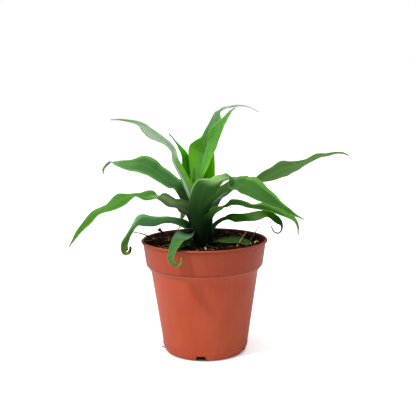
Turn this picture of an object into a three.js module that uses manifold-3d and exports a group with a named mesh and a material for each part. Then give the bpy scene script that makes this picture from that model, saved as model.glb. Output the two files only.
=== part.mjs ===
// A young pineapple plant in a thin plastic nursery pot filled with peat.
// Millimetres, +Z up. The origin is the centre of the pot's base, on the surface it stands on.
// The plant's long leaf reaches out along +X, and -Y is the side that the plant faces.

import * as THREE from 'three';
import { mergeVertices } from 'three/addons/utils/BufferGeometryUtils.js';
import Module from 'manifold-3d';

const wasm = await Module();
wasm.setup();

// Driving dimensions

const POT_HEIGHT = 98.3; // standing surface to the top of the lip
const LIP_RADIUS = 54.7; // outside of the bead at the mouth
const LIP_BEAD = 1.9; // height of the bead
const LIP_CHAMFER = 0.6; // slopes above and below the bead
const MOUTH_EASE = 0.3; // the mouth opens this much over its inner edge
const COLLAR_TOP_RADIUS = 53.3; // outside of the collar, under the bead
const COLLAR_FOOT_RADIUS = 50.6;
const COLLAR_FOOT_HEIGHT = 77.1;
const SHOULDER_RADIUS = 46.5; // where the collar's slope meets the wall
const SHOULDER_HEIGHT = 71.3;
const STEP_RADIUS = 47.9; // knuckle half way up the collar's slope
const STEP_HEIGHT = 73.9;
const WALL_FOOT_RADIUS = 36.9;
const WALL_FOOT_HEIGHT = 4.2;
const BASE_RADIUS = 32.3; // flat disc that the pot stands on
const WALL = 1.1; // plastic thickness
const CORNER_STEPS = 4; // faces round the corner between base and wall
const POT_SIDES = 44;

const SLOT_COUNT = 5; // drain slots through the corner of wall and floor
const SLOT_FOOT_WIDTH = 10.4;
const SLOT_TOP_WIDTH = 7.4;
const SLOT_HEIGHT = 4.9;
const SLOT_INNER_RADIUS = 26;
const SLOT_OVERRUN = 1; // the slot is cut this far past the foot
const SLOT_FIRST_ANGLE = -96; // degrees from +X, just left of the front

const SOIL_LEVEL = 92.5; // soil surface at the stem
const SOIL_RISE = 4; // the soil lies this much higher at the pot's wall
const SOIL_TILT = 0.012; // and rises by this share of the way towards -X
const SOIL_RELIEF = 0.35; // height of each of the surface's two crossing waves
const FINE_WAVE = [0.55, 0.47]; // along X and Y, in radians per millimetre
const BROAD_WAVE = [0.21, -0.33];
const SOIL_RINGS = 6;
const SOIL_SIDES = 40;
const HOLE_DEPTH = 20; // hole in the soil that the stem stands in

// Bits that stick out of the soil: a run of points and a thickness
const STICKS = [
  { run: [[26, -18, 92], [31.3, -8, 98.5], [36.8, 0, 104.4]], thick: 0.9 }, // pale straw
  { run: [[38, 4, 92], [48, 8, 107.5]], thick: 0.8 }, // thin brown straw
  { run: [[1.8, -31, 91], [0.8, -28, 96.4]], thick: 1.6 }, // cream stub by the stem
  { run: [[-35, 32, 92], [-40.5, 29, 101.8]], thick: 2.2 }, // dark twig at the back
  { run: [[38, 21, 92], [39, 22, 99.5]], thick: 1.4 },
  { run: [[-42, 5, 92], [-48.5, 0, 100.5], [-54, -4, 104], [-61, -6, 105.8]], thick: 1.2 }, // root
  { run: [[-22, -4.7, 3], [-32, -6.8, 2.2], [-38.6, -8, 4.6]], thick: 1.1 }, // root out of a slot
];
const CRUMB_COUNT = 14;
const CRUMB_SMALLEST = 1; // radius
const CRUMB_LARGEST = 2;
const CRUMB_LIFT = 0.2; // share of its radius by which a crumb's centre stands over the soil
const CRUMB_NEAREST = 12; // distance from the stem
const CRUMB_FURTHEST = 46;
const CRUMB_SEED = 11;
const KNUCKLE = 1.1; // a stick's knuckle is this much thicker than the stick
const STICK_SIDES = 5;

const STEM_RADIUS = 6; // in its hole
const STEM_FOOT_RADIUS = 4.2;
// Radius and height above the soil, from the soil to the growing tip
const STEM_OUTLINE = [[6, 4], [6.4, 14], [6.8, 24], [6, 32], [3.8, 38], [0, 41]];
const STEM_SIDES = 14;

const BLADE = 0.9; // leaf thickness
const CLASP = 68; // half-angle of the sheath round the stem, degrees
const CLASP_REACH = 13; // length over which the sheath opens into the blade
const CHANNEL = 15; // half-angle of the blade's shallow channel, degrees
const ACROSS = 4; // faces across a blade
const STEPS = 2; // faces along a blade between two stations
const NARROWEST = 0.4; // half width that a blade keeps at its tip
const GAP = 0.3; // clearance that keeps touching pieces apart
const SLIVER = 0.01; // finer detail than this, which the cuts leave, is smoothed away

const HEART = 0x5fa832;
const YOUNG = 0x4a9a3c;
const GROWN = 0x3f8a45;
const DARK = 0x2f6b3a;

// Leaves, youngest first. The angle is the blade's heading in degrees from +X.
// A station is [x, y, height above the soil, half width, turn]. The turn is in degrees about
// the midrib, and 0 where the blade's upper face looks up or in towards the stem.

const LEAVES = [
  {
    name: 'leaf_heart_small', angle: 240, colour: DARK,
    stations: [[-4.5, -1.5, 37, 5, 0], [-6.5, -2, 50, 5.5, -5], [-6.5, -3, 60, 4, -4],
      [-7, -3.5, 66, 2.5, -9], [-7, -4, 71, 0.5, -15]],
  },
  {
    name: 'leaf_heart_left', angle: 150, colour: HEART,
    stations: [[-6, 1, 32, 7.75, -24], [-9, 4, 48, 8.5, -4], [-13, 6, 61.5, 9, -8],
      [-15, 8, 70, 8, -1], [-17, 9, 78.5, 6, 6], [-20.5, 10, 84.5, 4, 8], [-24, 10, 89.5, 2.5, 17],
      [-27, 10, 93.5, 1.3, 20], [-29.5, 10, 96, 0.5, 0]],
  },
  {
    name: 'leaf_heart_right', angle: 60, colour: YOUNG,
    stations: [[1, 4, 35.5, 6.75, -10], [0, 5, 48, 8, -33], [-1.5, 6, 59.5, 9, -44],
      [3, 7, 72, 9.25, -38], [6, 9, 81, 9.5, -32], [8.5, 10, 89.5, 9.75, -31],
      [11, 12, 97.5, 9.25, -20], [13.5, 13, 102.5, 7.5, -15], [17.5, 14, 107, 5, -19],
      [21, 15, 111, 3, -26], [24, 15, 115, 1.2, -14], [27.5, 15, 118, 0.5, -20]],
  },
  {
    name: 'leaf_heart_back', angle: 35, colour: HEART,
    stations: [[5.5, 5, 32, 7.5, 20], [5.5, 9, 47, 8, 10], [5, 11, 59.5, 8, 8], [5, 12, 69, 7, 8],
      [5.5, 14, 78.5, 5.75, 10], [7.5, 15, 88, 4.25, 9], [9, 16, 96, 2.75, 5],
      [10.5, 17, 103.5, 0.5, 0]],
  },
  {
    name: 'leaf_tall', angle: 100, colour: HEART,
    stations: [[-3.5, 5, 32.5, 8, 31], [-3.5, 8, 47.5, 9.5, 30], [-3.5, 11, 60, 10.75, 30],
      [-3.5, 14, 69, 12, 28], [-2.5, 17, 77, 14, 26], [-0.5, 19, 82, 13, 26],
      [3, 20.5, 88.5, 9.25, 27], [6, 21, 95, 8, 28], [9, 22, 101.5, 6.5, 29],
      [11.5, 23, 109, 5.25, 30], [12.5, 24, 113, 3.5, 30], [14.5, 24, 115.5, 1.8, 32],
      [18.5, 23, 118, 1.7, 5], [24.5, 21, 119, 1.6, -16], [31.5, 18, 120, 1.2, -40],
      [38.5, 15, 119, 1, -40], [43, 12, 117, 0.8, -40], [47.5, 10, 114.5, 0.5, -40]],
  },
  {
    name: 'leaf_left_arch', angle: 205, colour: YOUNG,
    stations: [[-6, -4.5, 31, 8, 26], [-10.5, -9, 45.5, 8.5, 14], [-13, -11, 52.5, 9, 12],
      [-16.5, -12, 60.5, 9, 4], [-20, -13, 67, 9.25, 0], [-23.5, -14, 74, 9, 0],
      [-24.5, -15, 80.5, 9.25, -7], [-26, -16, 84.5, 8.75, -3], [-29.5, -17, 88.5, 9, 1],
      [-35.5, -18, 92.5, 9, 11], [-41, -19, 96, 8.5, 19], [-46, -20, 100, 7.5, 15],
      [-50, -21, 104, 6, 11], [-55, -22, 107, 4.5, 12], [-61, -23, 108.5, 2.5, 18],
      [-68, -24, 109.5, 1.4, 16], [-75, -24, 109.5, 0.5, 10]],
  },
  {
    name: 'leaf_left_wide', angle: 163, colour: GROWN,
    stations: [[-8, 1, 27, 8.75, -46], [-17.5, 5, 43, 9, -14], [-22, 9, 50.5, 9.25, -19],
      [-28, 12, 53.5, 9.75, -24], [-35, 15, 58, 10, -26], [-42.5, 18, 63, 10.5, -26],
      [-48, 20, 66.5, 11, -37], [-55.5, 23, 69, 10.75, -37], [-63.5, 26, 68.5, 8.75, -35],
      [-71.5, 29, 68.5, 6.75, -29], [-78, 30, 69.5, 4, -23], [-83, 31, 71, 3, 12],
      [-87, 32, 68.5, 2, 20], [-90.5, 32, 64, 1.6, 10], [-90.5, 31, 59.5, 0.5, 10]],
  },
  {
    name: 'leaf_front_fold', angle: -68, colour: GROWN,
    stations: [[-2.2, -7.2, 1.5, 7, -4], [-4, -8.5, 15.5, 7.25, -10], [-5, -12, 29.5, 7.25, -8],
      [-3, -17, 40.5, 10, -2], [0.5, -21, 49, 11.5, -11], [4, -25, 55, 11.25, -16],
      [7.5, -28, 57.5, 10.5, -5], [12, -31, 60, 10, 8], [15.5, -33, 62, 9.5, 1],
      [19.5, -36, 63.5, 9.25, -8], [24.5, -40, 63, 9.25, -24], [28.5, -43, 59, 9.75, 22],
      [33.5, -47, 58, 10.25, 22], [38.5, -50, 55.5, 10.25, 13], [44, -53, 52, 9.75, 5],
      [51, -55, 48, 8, -3], [56.5, -57, 44, 6, -7], [63.5, -59, 40, 3.75, -7],
      [70.5, -60, 35.5, 2, -6], [78, -62, 32, 0.5, -15]],
  },
  {
    name: 'leaf_right_long', angle: -35, colour: GROWN,
    stations: [[3, -6, 24.5, 8, -26], [6, -11, 38.5, 8.5, -10], [13.5, -14, 46, 9, -14],
      [20.5, -17, 52, 8.75, -18], [28.5, -20, 56, 9, -24], [37, -24, 58.5, 9, -28],
      [45, -27, 59, 9, -16], [52, -29, 62, 9.25, -23], [59, -31, 65.5, 9, -31],
      [66, -33, 69, 9, -44], [72, -35, 70.5, 8, -31], [78, -37, 73, 6.75, -20],
      [85, -39, 76, 5, -19], [91.5, -41, 79.5, 4, -23], [98, -42, 80.5, 3, -23],
      [105.5, -42, 82, 1.9, -28], [111.5, -42, 81.5, 1.5, -34], [116, -42, 79.5, 0.5, -20]],
  },
  {
    name: 'leaf_left_long', angle: 201, colour: GROWN,
    stations: [[-7, -4, 12, 8.5, 41], [-9.5, -7, 26.5, 8.75, 31], [-14, -9, 33, 8.75, 35],
      [-20, -12, 37.5, 8.75, 29], [-26.5, -15, 39, 8.5, 32], [-31.5, -18, 43, 8, 31],
      [-36, -21, 46.5, 8.25, 23], [-39, -22, 47, 8, -12], [-43, -23, 47, 8.5, -20],
      [-50.5, -25, 46, 8, -15], [-57, -28, 48, 8.5, -1], [-63, -31, 46.5, 8.5, -17],
      [-67.5, -33, 44.5, 8.5, -27], [-75.5, -36, 39.5, 7.75, -16], [-82, -38, 37, 6.75, -13],
      [-87.5, -40, 34.5, 6, -12], [-94.5, -42, 27.5, 5, -21], [-101, -43, 20, 3.5, -18],
      [-105.5, -44, 13.5, 1.8, -14], [-109, -44, 8.5, 0.5, -10]],
  },
  {
    name: 'leaf_back_mid', angle: 85, colour: GROWN,
    stations: [[1, 6, 22, 8, 0], [2, 14, 33, 9, 0], [3, 26, 42, 9, 0], [4, 40, 47, 8, 0],
      [4, 54, 47, 6.5, 0], [4, 68, 42, 4, 0], [4, 78, 34, 0.5, 0]],
  },
  {
    name: 'leaf_back_left', angle: 140, colour: GROWN,
    stations: [[-4, 4, 24, 7.5, 0], [-13, 12, 38, 8, 10], [-22, 21, 49, 8, 8],
      [-32, 30, 57, 7.5, 0], [-44, 38, 63, 6, -10], [-54, 44, 66, 3.5, -15],
      [-61, 48, 67, 0.5, -15]],
  },
  {
    name: 'leaf_back_right', angle: 50, colour: GROWN,
    stations: [[3, 5, 20, 7.5, 0], [9, 13, 34, 8, -12], [16, 22, 43, 8, -8], [25, 31, 47, 7.5, 5],
      [35, 40, 48, 6.5, 15], [46, 48, 46, 4, 25], [55, 54, 43, 0.5, 25]],
  },
  {
    name: 'leaf_right_mid', angle: -25, colour: GROWN,
    stations: [[1.5, -5, 19, 8.25, -42], [7, -8, 28, 8, -6], [11.5, -11, 33, 8.25, -16],
      [16.5, -14, 37, 8, 3], [20.5, -16, 38.5, 8, 18], [26, -18, 39.5, 7.75, 8],
      [33, -20, 38.5, 8, 3], [38, -22, 37, 8, 3], [47.5, -25, 37, 7.75, 11], [57, -28, 35, 7.5, 12],
      [64.5, -30, 32.5, 6.75, 9], [70.5, -32, 29.5, 4.75, 9], [75, -33, 25.5, 3, 6],
      [77, -33, 20.5, 1.9, 6], [77, -33, 17, 1.1, 0], [77.5, -32, 14.5, 0.5, -10]],
  },
  {
    name: 'leaf_back_droop', angle: 125, colour: HEART,
    stations: [[-6.5, 4, 21, 7.25, -26], [-13.5, 12, 30, 6.75, -13], [-18.5, 20, 31.5, 6.5, -31],
      [-19.5, 26, 27, 5.25, -96], [-20.5, 31, 20, 3.75, -80], [-21.5, 33, 13, 1.4, -81],
      [-24, 34, 8.5, 0.5, -75]],
  },
  {
    name: 'leaf_right_hook', angle: 20, colour: DARK,
    stations: [[4.5, 0.5, 3.5, 6.5, -50], [6, 2, 10, 8, -45], [10, 5, 17, 7.5, -30],
      [15, 7, 20.5, 7.75, -26], [19, 9, 21.5, 7.75, -18], [24, 11, 21.5, 7.75, 15],
      [33, 13, 21.5, 7.75, 19], [43.5, 16, 22, 8.25, 16], [52.5, 19, 23.5, 7.5, 14],
      [58.5, 21, 22.5, 7.25, 28], [64, 22, 19, 6, 38], [68, 23, 15.5, 4, 43],
      [69.5, 23, 12, 2.25, 49], [69, 22, 8.5, 1.4, 57], [66.5, 22, 6, 1.3, 48],
      [62.5, 21, 7.5, 1, 24], [59.5, 20, 13, 0.5, 10]],
  },
  {
    name: 'leaf_back_low', angle: 92, colour: DARK,
    stations: [[0, 6, 9, 7, 0], [0, 14, 17, 8, 0], [0, 26, 22, 7, 0], [0, 38, 23, 6, 0],
      [0, 50, 19, 4, 0], [0, 60, 12, 0.5, 0]],
  },
  {
    name: 'leaf_left_hook', angle: 197, colour: DARK,
    stations: [[-10.5, -7, 8.5, 4.5, 25], [-12, -7, 13.5, 8, 0], [-15, -7, 17.5, 8.75, -20],
      [-21.5, -9, 21.5, 8.5, -20], [-28.5, -10, 23.5, 8.5, -12], [-36.5, -11, 24, 8.5, -11],
      [-44.5, -13, 23.5, 8.5, -26], [-52.5, -15, 24.5, 8, -29], [-57.5, -16, 22, 7, -5],
      [-62, -17, 15, 6.25, -5], [-64.5, -18, 10, 5.5, -11], [-67, -19, 5, 5, -21],
      [-67, -20, 1, 4.75, -28], [-66.5, -21, -1.5, 3.5, -33], [-64, -22, -1.5, 3, -45],
      [-62.5, -23, 0.5, 2.25, -49], [-62, -24, 3.5, 1.6, 2], [-60, -25, 2.5, 0.5, -10]],
  },
  {
    name: 'leaf_front_curl', angle: 245, colour: GROWN,
    stations: [[-12.5, -9.5, 10, 5, 15], [-14.5, -14, 12.5, 7.25, -5], [-17, -24, 13, 7.5, -14],
      [-20, -38, 11.5, 7.25, 11], [-22, -51, 10, 7, 27], [-24.5, -59, 6.5, 6, 36],
      [-26, -62, 3.5, 5, 35], [-26, -61.5, 0.5, 4, 27], [-24, -62, -2, 3, 21],
      [-22, -62, -3.5, 2, -4], [-19, -63, -2.5, 1, -54], [-18, -63, -1, 0.8, -71],
      [-18, -62, 2.5, 0.5, -75]],
  },
  {
    name: 'leaf_soil_right', angle: -15, colour: DARK,
    stations: [[5, -2, 2, 4, 10], [10, -3.5, 2.8, 4.5, 8], [17, -4.5, 4.2, 6.2, 10],
      [27, -6.5, 5, 7.3, 10], [34, -9, 4.4, 5.5, 15], [39.5, -13, 2.5, 1.5, 40]],
  },
  {
    name: 'leaf_soil_left', angle: 205, colour: DARK,
    stations: [[-5, -5, 1.5, 4, -15], [-13, -9, 1.8, 5.5, -10], [-22, -13, 2, 6.5, -5],
      [-30, -17, 2, 5.5, -10], [-35, -21, 2, 2, -20]],
  },
];

const radians = THREE.MathUtils.degToRad;

// Turns a closed geometry into a solid that can be cut.
function solid(geometry) {
  const bare = geometry.index ? geometry.toNonIndexed() : geometry.clone();
  bare.deleteAttribute('normal');
  bare.deleteAttribute('uv');
  const merged = mergeVertices(bare, 1e-4);
  return new wasm.Manifold(new wasm.Mesh({
    numProp: 3,
    vertProperties: new Float32Array(merged.attributes.position.array),
    triVerts: new Uint32Array(merged.index.array),
  }));
}

// Turns the largest body of a solid back into a geometry; loose scraps are dropped.
function geometryOf(body) {
  const largest = body.decompose().sort((a, b) => b.volume() - a.volume())[0];
  const mesh = largest.asOriginal().simplify(SLIVER).getMesh();
  const geometry = new THREE.BufferGeometry();
  geometry.setAttribute('position', new THREE.BufferAttribute(mesh.vertProperties, 3));
  geometry.setIndex(new THREE.BufferAttribute(mesh.triVerts, 1));
  geometry.computeVertexNormals();
  return geometry;
}

function part(name, body, colour, roughness) {
  const material = new THREE.MeshStandardMaterial({ color: colour, roughness, metalness: 0 });
  const mesh = new THREE.Mesh(geometryOf(body), material);
  mesh.name = name;
  return mesh;
}

// Turns a profile of radius and height about the upright axis.
function turned(profile, sides) {
  return new THREE.LatheGeometry(profile, sides).rotateX(Math.PI / 2);
}

// The rounded corner between the base disc and the wall, drawn as a quarter of an ellipse.
function cornerPoints(inset) {
  const points = [];
  for (let i = 0; i <= CORNER_STEPS; i += 1) {
    const a = (Math.PI / 2) * (i / CORNER_STEPS);
    points.push(new THREE.Vector2(
      BASE_RADIUS + (WALL_FOOT_RADIUS - BASE_RADIUS) * Math.sin(a) - inset,
      WALL_FOOT_HEIGHT * (1 - Math.cos(a)) + inset,
    ));
  }
  return points;
}

function potBody() {
  const outside = [
    new THREE.Vector2(0, 0),
    ...cornerPoints(0),
    new THREE.Vector2(SHOULDER_RADIUS, SHOULDER_HEIGHT),
    new THREE.Vector2(STEP_RADIUS, STEP_HEIGHT),
    new THREE.Vector2(COLLAR_FOOT_RADIUS, COLLAR_FOOT_HEIGHT),
    new THREE.Vector2(COLLAR_TOP_RADIUS, POT_HEIGHT - LIP_BEAD),
    new THREE.Vector2(LIP_RADIUS, POT_HEIGHT - LIP_BEAD + LIP_CHAMFER),
    new THREE.Vector2(LIP_RADIUS, POT_HEIGHT - LIP_CHAMFER),
    new THREE.Vector2(LIP_RADIUS - LIP_CHAMFER, POT_HEIGHT),
  ];
  const inside = [
    new THREE.Vector2(COLLAR_TOP_RADIUS - WALL + MOUTH_EASE, POT_HEIGHT),
    new THREE.Vector2(COLLAR_TOP_RADIUS - WALL, POT_HEIGHT - LIP_CHAMFER),
    new THREE.Vector2(COLLAR_FOOT_RADIUS - WALL, COLLAR_FOOT_HEIGHT),
    new THREE.Vector2(STEP_RADIUS - WALL, STEP_HEIGHT),
    new THREE.Vector2(SHOULDER_RADIUS - WALL, SHOULDER_HEIGHT),
    ...cornerPoints(WALL).reverse(),
    new THREE.Vector2(0, WALL),
  ];
  let body = solid(turned([...outside, ...inside], POT_SIDES));
  for (let i = 0; i < SLOT_COUNT; i += 1) {
    body = body.subtract(solid(slotCutter(SLOT_FIRST_ANGLE + (360 / SLOT_COUNT) * i)));
  }
  return body;
}

// A trapezoid bar that runs outwards through the corner of the pot.
function slotCutter(angle) {
  const outline = new THREE.Shape([
    new THREE.Vector2(-SLOT_FOOT_WIDTH / 2, -SLOT_OVERRUN),
    new THREE.Vector2(SLOT_FOOT_WIDTH / 2, -SLOT_OVERRUN),
    new THREE.Vector2(SLOT_TOP_WIDTH / 2, SLOT_HEIGHT),
    new THREE.Vector2(-SLOT_TOP_WIDTH / 2, SLOT_HEIGHT),
  ]);
  const bar = new THREE.ExtrudeGeometry(outline, {
    depth: WALL_FOOT_RADIUS + SLOT_OVERRUN - SLOT_INNER_RADIUS, bevelEnabled: false,
  });
  bar.translate(0, 0, SLOT_INNER_RADIUS);
  bar.rotateX(Math.PI / 2);
  bar.rotateZ(radians(angle + 90));
  return bar;
}

// Height of the soil's uneven surface.
function soilHeight(x, y) {
  const fine = Math.sin(x * FINE_WAVE[0]) * Math.cos(y * FINE_WAVE[1]);
  const broad = Math.sin(x * BROAD_WAVE[0] + y * BROAD_WAVE[1]);
  const out = Math.hypot(x, y) / LIP_RADIUS;
  return SOIL_LEVEL + SOIL_RISE * out * out - SOIL_TILT * x + SOIL_RELIEF * (fine + broad);
}

// Soil that fills the pot, with a plain hole for the stem.
function soilBody() {
  const holeRadius = STEM_RADIUS + GAP;
  const rim = COLLAR_TOP_RADIUS - WALL - 2 * GAP;
  const profile = [new THREE.Vector2(0, WALL + GAP)];
  cornerPoints(WALL + GAP).forEach((p) => profile.push(p));
  profile.push(new THREE.Vector2(SHOULDER_RADIUS - WALL - GAP, SHOULDER_HEIGHT));
  profile.push(new THREE.Vector2(STEP_RADIUS - WALL - GAP, STEP_HEIGHT));
  profile.push(new THREE.Vector2(COLLAR_FOOT_RADIUS - WALL - GAP, COLLAR_FOOT_HEIGHT));
  for (let i = SOIL_RINGS; i >= 0; i -= 1) {
    profile.push(new THREE.Vector2(holeRadius + (rim - holeRadius) * (i / SOIL_RINGS), SOIL_LEVEL));
  }
  profile.push(new THREE.Vector2(holeRadius, SOIL_LEVEL - HOLE_DEPTH));
  profile.push(new THREE.Vector2(0, SOIL_LEVEL - HOLE_DEPTH));
  const fill = turned(profile, SOIL_SIDES);
  const position = fill.attributes.position;
  for (let i = 0; i < position.count; i += 1) {
    if (Math.abs(position.getZ(i) - SOIL_LEVEL) < 1e-6) {
      position.setZ(i, soilHeight(position.getX(i), position.getY(i)));
    }
  }
  return solid(fill);
}

// A thin round stick along a run of points, with a knuckle at each bend.
function stickBody({ run, thick }) {
  const points = run.map((p) => new THREE.Vector3(...p));
  const pieces = [];
  for (let i = 1; i < points.length; i += 1) {
    const [a, b] = [points[i - 1], points[i]];
    const rod = new THREE.CylinderGeometry(thick / 2, thick / 2, a.distanceTo(b), STICK_SIDES);
    const direction = b.clone().sub(a).normalize();
    const upright = new THREE.Vector3(0, 1, 0);
    rod.applyQuaternion(new THREE.Quaternion().setFromUnitVectors(upright, direction));
    const middle = a.clone().add(b).multiplyScalar(0.5);
    pieces.push(solid(rod.translate(middle.x, middle.y, middle.z)));
    if (i > 1) pieces.push(lump(a, (KNUCKLE * thick) / 2));
  }
  return pieces.reduce((whole, piece) => whole.add(piece));
}

function lump(centre, radius) {
  return solid(new THREE.IcosahedronGeometry(radius).translate(centre.x, centre.y, centre.z));
}

// The small repeatable generator behind the scattered crumbs.
function randomSource(seed) {
  let state = seed;
  return () => {
    state = (state * 16807) % 2147483647;
    return state / 2147483647;
  };
}

// The soil with its sticks and crumbs grown into it.
function litteredSoil() {
  let body = soilBody();
  for (const stick of STICKS) body = body.add(stickBody(stick));
  const random = randomSource(CRUMB_SEED);
  for (let i = 0; i < CRUMB_COUNT; i += 1) {
    const angle = random() * 2 * Math.PI;
    const out = CRUMB_NEAREST + (CRUMB_FURTHEST - CRUMB_NEAREST) * Math.sqrt(random());
    const size = CRUMB_SMALLEST + (CRUMB_LARGEST - CRUMB_SMALLEST) * random();
    const [x, y] = [out * Math.cos(angle), out * Math.sin(angle)];
    body = body.add(lump(new THREE.Vector3(x, y, soilHeight(x, y) + size * CRUMB_LIFT), size));
  }
  return body;
}

// The short club-shaped stem that carries every leaf.
function stemBody() {
  const foot = GAP - HOLE_DEPTH;
  const profile = [
    new THREE.Vector2(0, foot),
    new THREE.Vector2(STEM_FOOT_RADIUS, foot),
    new THREE.Vector2(STEM_RADIUS, foot / 2),
    ...STEM_OUTLINE.map(([radius, height]) => new THREE.Vector2(radius, height)),
  ];
  return solid(turned(profile, STEM_SIDES).translate(0, 0, SOIL_LEVEL));
}

// Stations along a blade: its midrib, across and upward directions, half width and cup angle.
function bladeStations(leaf) {
  const midrib = new THREE.CatmullRomCurve3(
    leaf.stations.map(([x, y, h]) => new THREE.Vector3(x, y, h)), false, 'catmullrom');
  const widths = new THREE.CatmullRomCurve3(
    leaf.stations.map(([, , , half, turn]) => new THREE.Vector3(half, turn, 0)), false,
    'catmullrom');
  const side = new THREE.Vector3(-Math.sin(radians(leaf.angle)), Math.cos(radians(leaf.angle)), 0);
  const count = (leaf.stations.length - 1) * STEPS;
  const list = [];
  let along = 0;
  for (let i = 0; i <= count; i += 1) {
    const point = midrib.getPoint(i / count);
    const tangent = midrib.getTangent(i / count);
    const shape = widths.getPoint(i / count);
    const across = side.clone().addScaledVector(tangent, -side.dot(tangent)).normalize();
    across.applyAxisAngle(tangent, radians(shape.y));
    const up = tangent.clone().cross(across);
    if (i > 0) along += point.distanceTo(list[i - 1].point);
    const opening = Math.exp(-((along / CLASP_REACH) ** 2));
    const cup = radians(CHANNEL * (1 - opening) + CLASP * opening);
    const half = Math.max(shape.x, NARROWEST);
    list.push({ point, tangent, across, up, half, cup, open: 1 - opening });
  }
  return list;
}

// A closed blade: the same grid on the upper and the lower face, split into like triangles.
function bladeBody(leaf, spare) {
  const stations = bladeStations(leaf);
  const lastStation = stations.length - 1;
  const faces = { top: [], foot: [] };
  const positions = [];
  const thick = BLADE / 2 + spare;
  for (const sign of [1, -1]) {
    stations.forEach(({ point, tangent, across, up, half, cup, open }, i) => {
      const radius = (half + spare) / cup;
      const sink = (radius * (1 - Math.cos(cup)) * open) / 2;
      const past = spare * ((i === lastStation) - (i === 0));
      for (let j = 0; j <= ACROSS; j += 1) {
        const a = cup * ((2 * j) / ACROSS - 1);
        const place = point.clone()
          .addScaledVector(tangent, past)
          .addScaledVector(across, (radius - sign * thick) * Math.sin(a))
          .addScaledVector(up, radius * (1 - Math.cos(a)) - sink + sign * thick * Math.cos(a));
        (sign > 0 ? faces.top : faces.foot).push(positions.length / 3);
        positions.push(place.x, place.y, place.z + SOIL_LEVEL);
      }
    });
  }
  const index = [];
  const row = ACROSS + 1;
  const quad = (a, b, c, d) => index.push(a, b, c, a, c, d);
  for (let i = 0; i < lastStation; i += 1) {
    for (let j = 0; j < ACROSS; j += 1) {
      const at = i * row + j;
      const corners = [at, at + row, at + row + 1, at + 1];
      const [a, b, c, d] = corners.map((k) => faces.top[k]);
      const [e, f, g, h] = corners.map((k) => faces.foot[k]);
      index.push(a, b, c, a, c, d);
      index.push(e, g, f, e, h, g);
    }
    const left = i * row;
    const right = left + ACROSS;
    quad(faces.top[left], faces.foot[left], faces.foot[left + row], faces.top[left + row]);
    quad(faces.top[right], faces.top[right + row], faces.foot[right + row], faces.foot[right]);
  }
  const last = lastStation * row;
  for (let j = 0; j < ACROSS; j += 1) {
    quad(faces.top[j], faces.top[j + 1], faces.foot[j + 1], faces.foot[j]);
    const [at, next] = [last + j, last + j + 1];
    quad(faces.top[at], faces.foot[at], faces.foot[next], faces.top[next]);
  }
  const geometry = new THREE.BufferGeometry();
  geometry.setAttribute('position', new THREE.Float32BufferAttribute(positions, 3));
  geometry.setIndex(index);
  return solid(geometry);
}

// The whole plant. An older leaf gives way to the younger ones that it wraps, and the stem
// gives way to every leaf base, so each base sits in its own seat with a small clearance.
const plant = new THREE.Group();
plant.add(part('pot', potBody(), 0xb5573b, 0.45));
let soil = litteredSoil();
let stem = stemBody();
const younger = [];
for (const leaf of LEAVES) {
  let blade = bladeBody(leaf, 0);
  for (const other of younger) blade = blade.subtract(other);
  const seat = bladeBody(leaf, GAP);
  younger.push(seat);
  stem = stem.subtract(seat);
  soil = soil.subtract(seat);
  plant.add(part(leaf.name, blade, leaf.colour, 0.5));
}
plant.add(part('stem', stem, 0x2c4a2c, 0.8));
plant.add(part('soil', soil, 0x2a1d16, 1));

export default plant;
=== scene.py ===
# A young pineapple plant in a plastic nursery pot, in metres, +Z up.
# The origin is the centre of the pot's base, and -Y is the side that the plant faces.
import math

import bmesh
import bpy
from mathutils import Matrix, Vector, noise


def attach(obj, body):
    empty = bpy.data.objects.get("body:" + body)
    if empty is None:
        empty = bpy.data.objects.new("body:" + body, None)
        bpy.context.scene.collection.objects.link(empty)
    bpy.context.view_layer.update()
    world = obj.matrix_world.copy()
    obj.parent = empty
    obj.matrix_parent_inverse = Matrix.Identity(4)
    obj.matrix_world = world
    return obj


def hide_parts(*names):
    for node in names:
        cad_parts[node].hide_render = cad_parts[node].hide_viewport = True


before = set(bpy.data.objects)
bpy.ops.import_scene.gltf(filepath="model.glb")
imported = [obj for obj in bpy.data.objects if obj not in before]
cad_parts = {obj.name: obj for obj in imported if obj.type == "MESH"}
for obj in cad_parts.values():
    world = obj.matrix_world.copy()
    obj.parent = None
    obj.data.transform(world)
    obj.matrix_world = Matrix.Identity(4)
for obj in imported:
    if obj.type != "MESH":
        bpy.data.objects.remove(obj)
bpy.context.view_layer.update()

MM = 0.001


# The pot is one thin injection-moulded shell of terracotta-coloured polypropylene. It has a bead
# at the lip, a collar for grip, a stepped shoulder, a tapered wall and five drain slots in the
# corner of wall and floor. It is turned from one profile, and the slots are cut out of it.

POT_WALL = 1.1
POT_SIDES = 192
CORNER_STEPS = 4
CORNER_REACH = 0.45
SHARP_CORNER = 40
# Outside of the pot from the foot to the lip, then its inside from the lip down to the floor:
# radius, height and rounding of each corner
POT_CORNERS = [
    (32.3, 0.0, 0.0), (34.7, 0.5, 1.2), (36.85, 4.2, 2.6), (37.45, 7.2, 0.4), (37.15, 7.7, 0.4),
    (46.5, 71.3, 2.5), (47.9, 73.9, 1.5), (50.6, 77.1, 0.4), (53.15, 95.9, 0.3), (53.8, 96.5, 0.5),
    (54.7, 97.1, 0.5), (54.7, 97.8, 0.4), (54.2, 98.3, 0.3),
]
POT_INSIDE = [
    (52.6, 98.3, 0.4), (52.2, 97.4, 0.5), (49.5, 77.1, 1.6), (46.8, 73.9, 0.9), (45.4, 71.3, 0.9),
    (35.9, 5.0, 2.4), (31.7, 1.1, 0.6),
]
SLOT_COUNT = 5
SLOT_FIRST_ANGLE = -96
SLOT_FOOT_WIDTH = 10.4
SLOT_TOP_WIDTH = 7.4
SLOT_FOOT = -1
SLOT_HEIGHT = 4.9
SLOT_INNER_RADIUS = 26
SLOT_OUTER_RADIUS = 38
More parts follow.
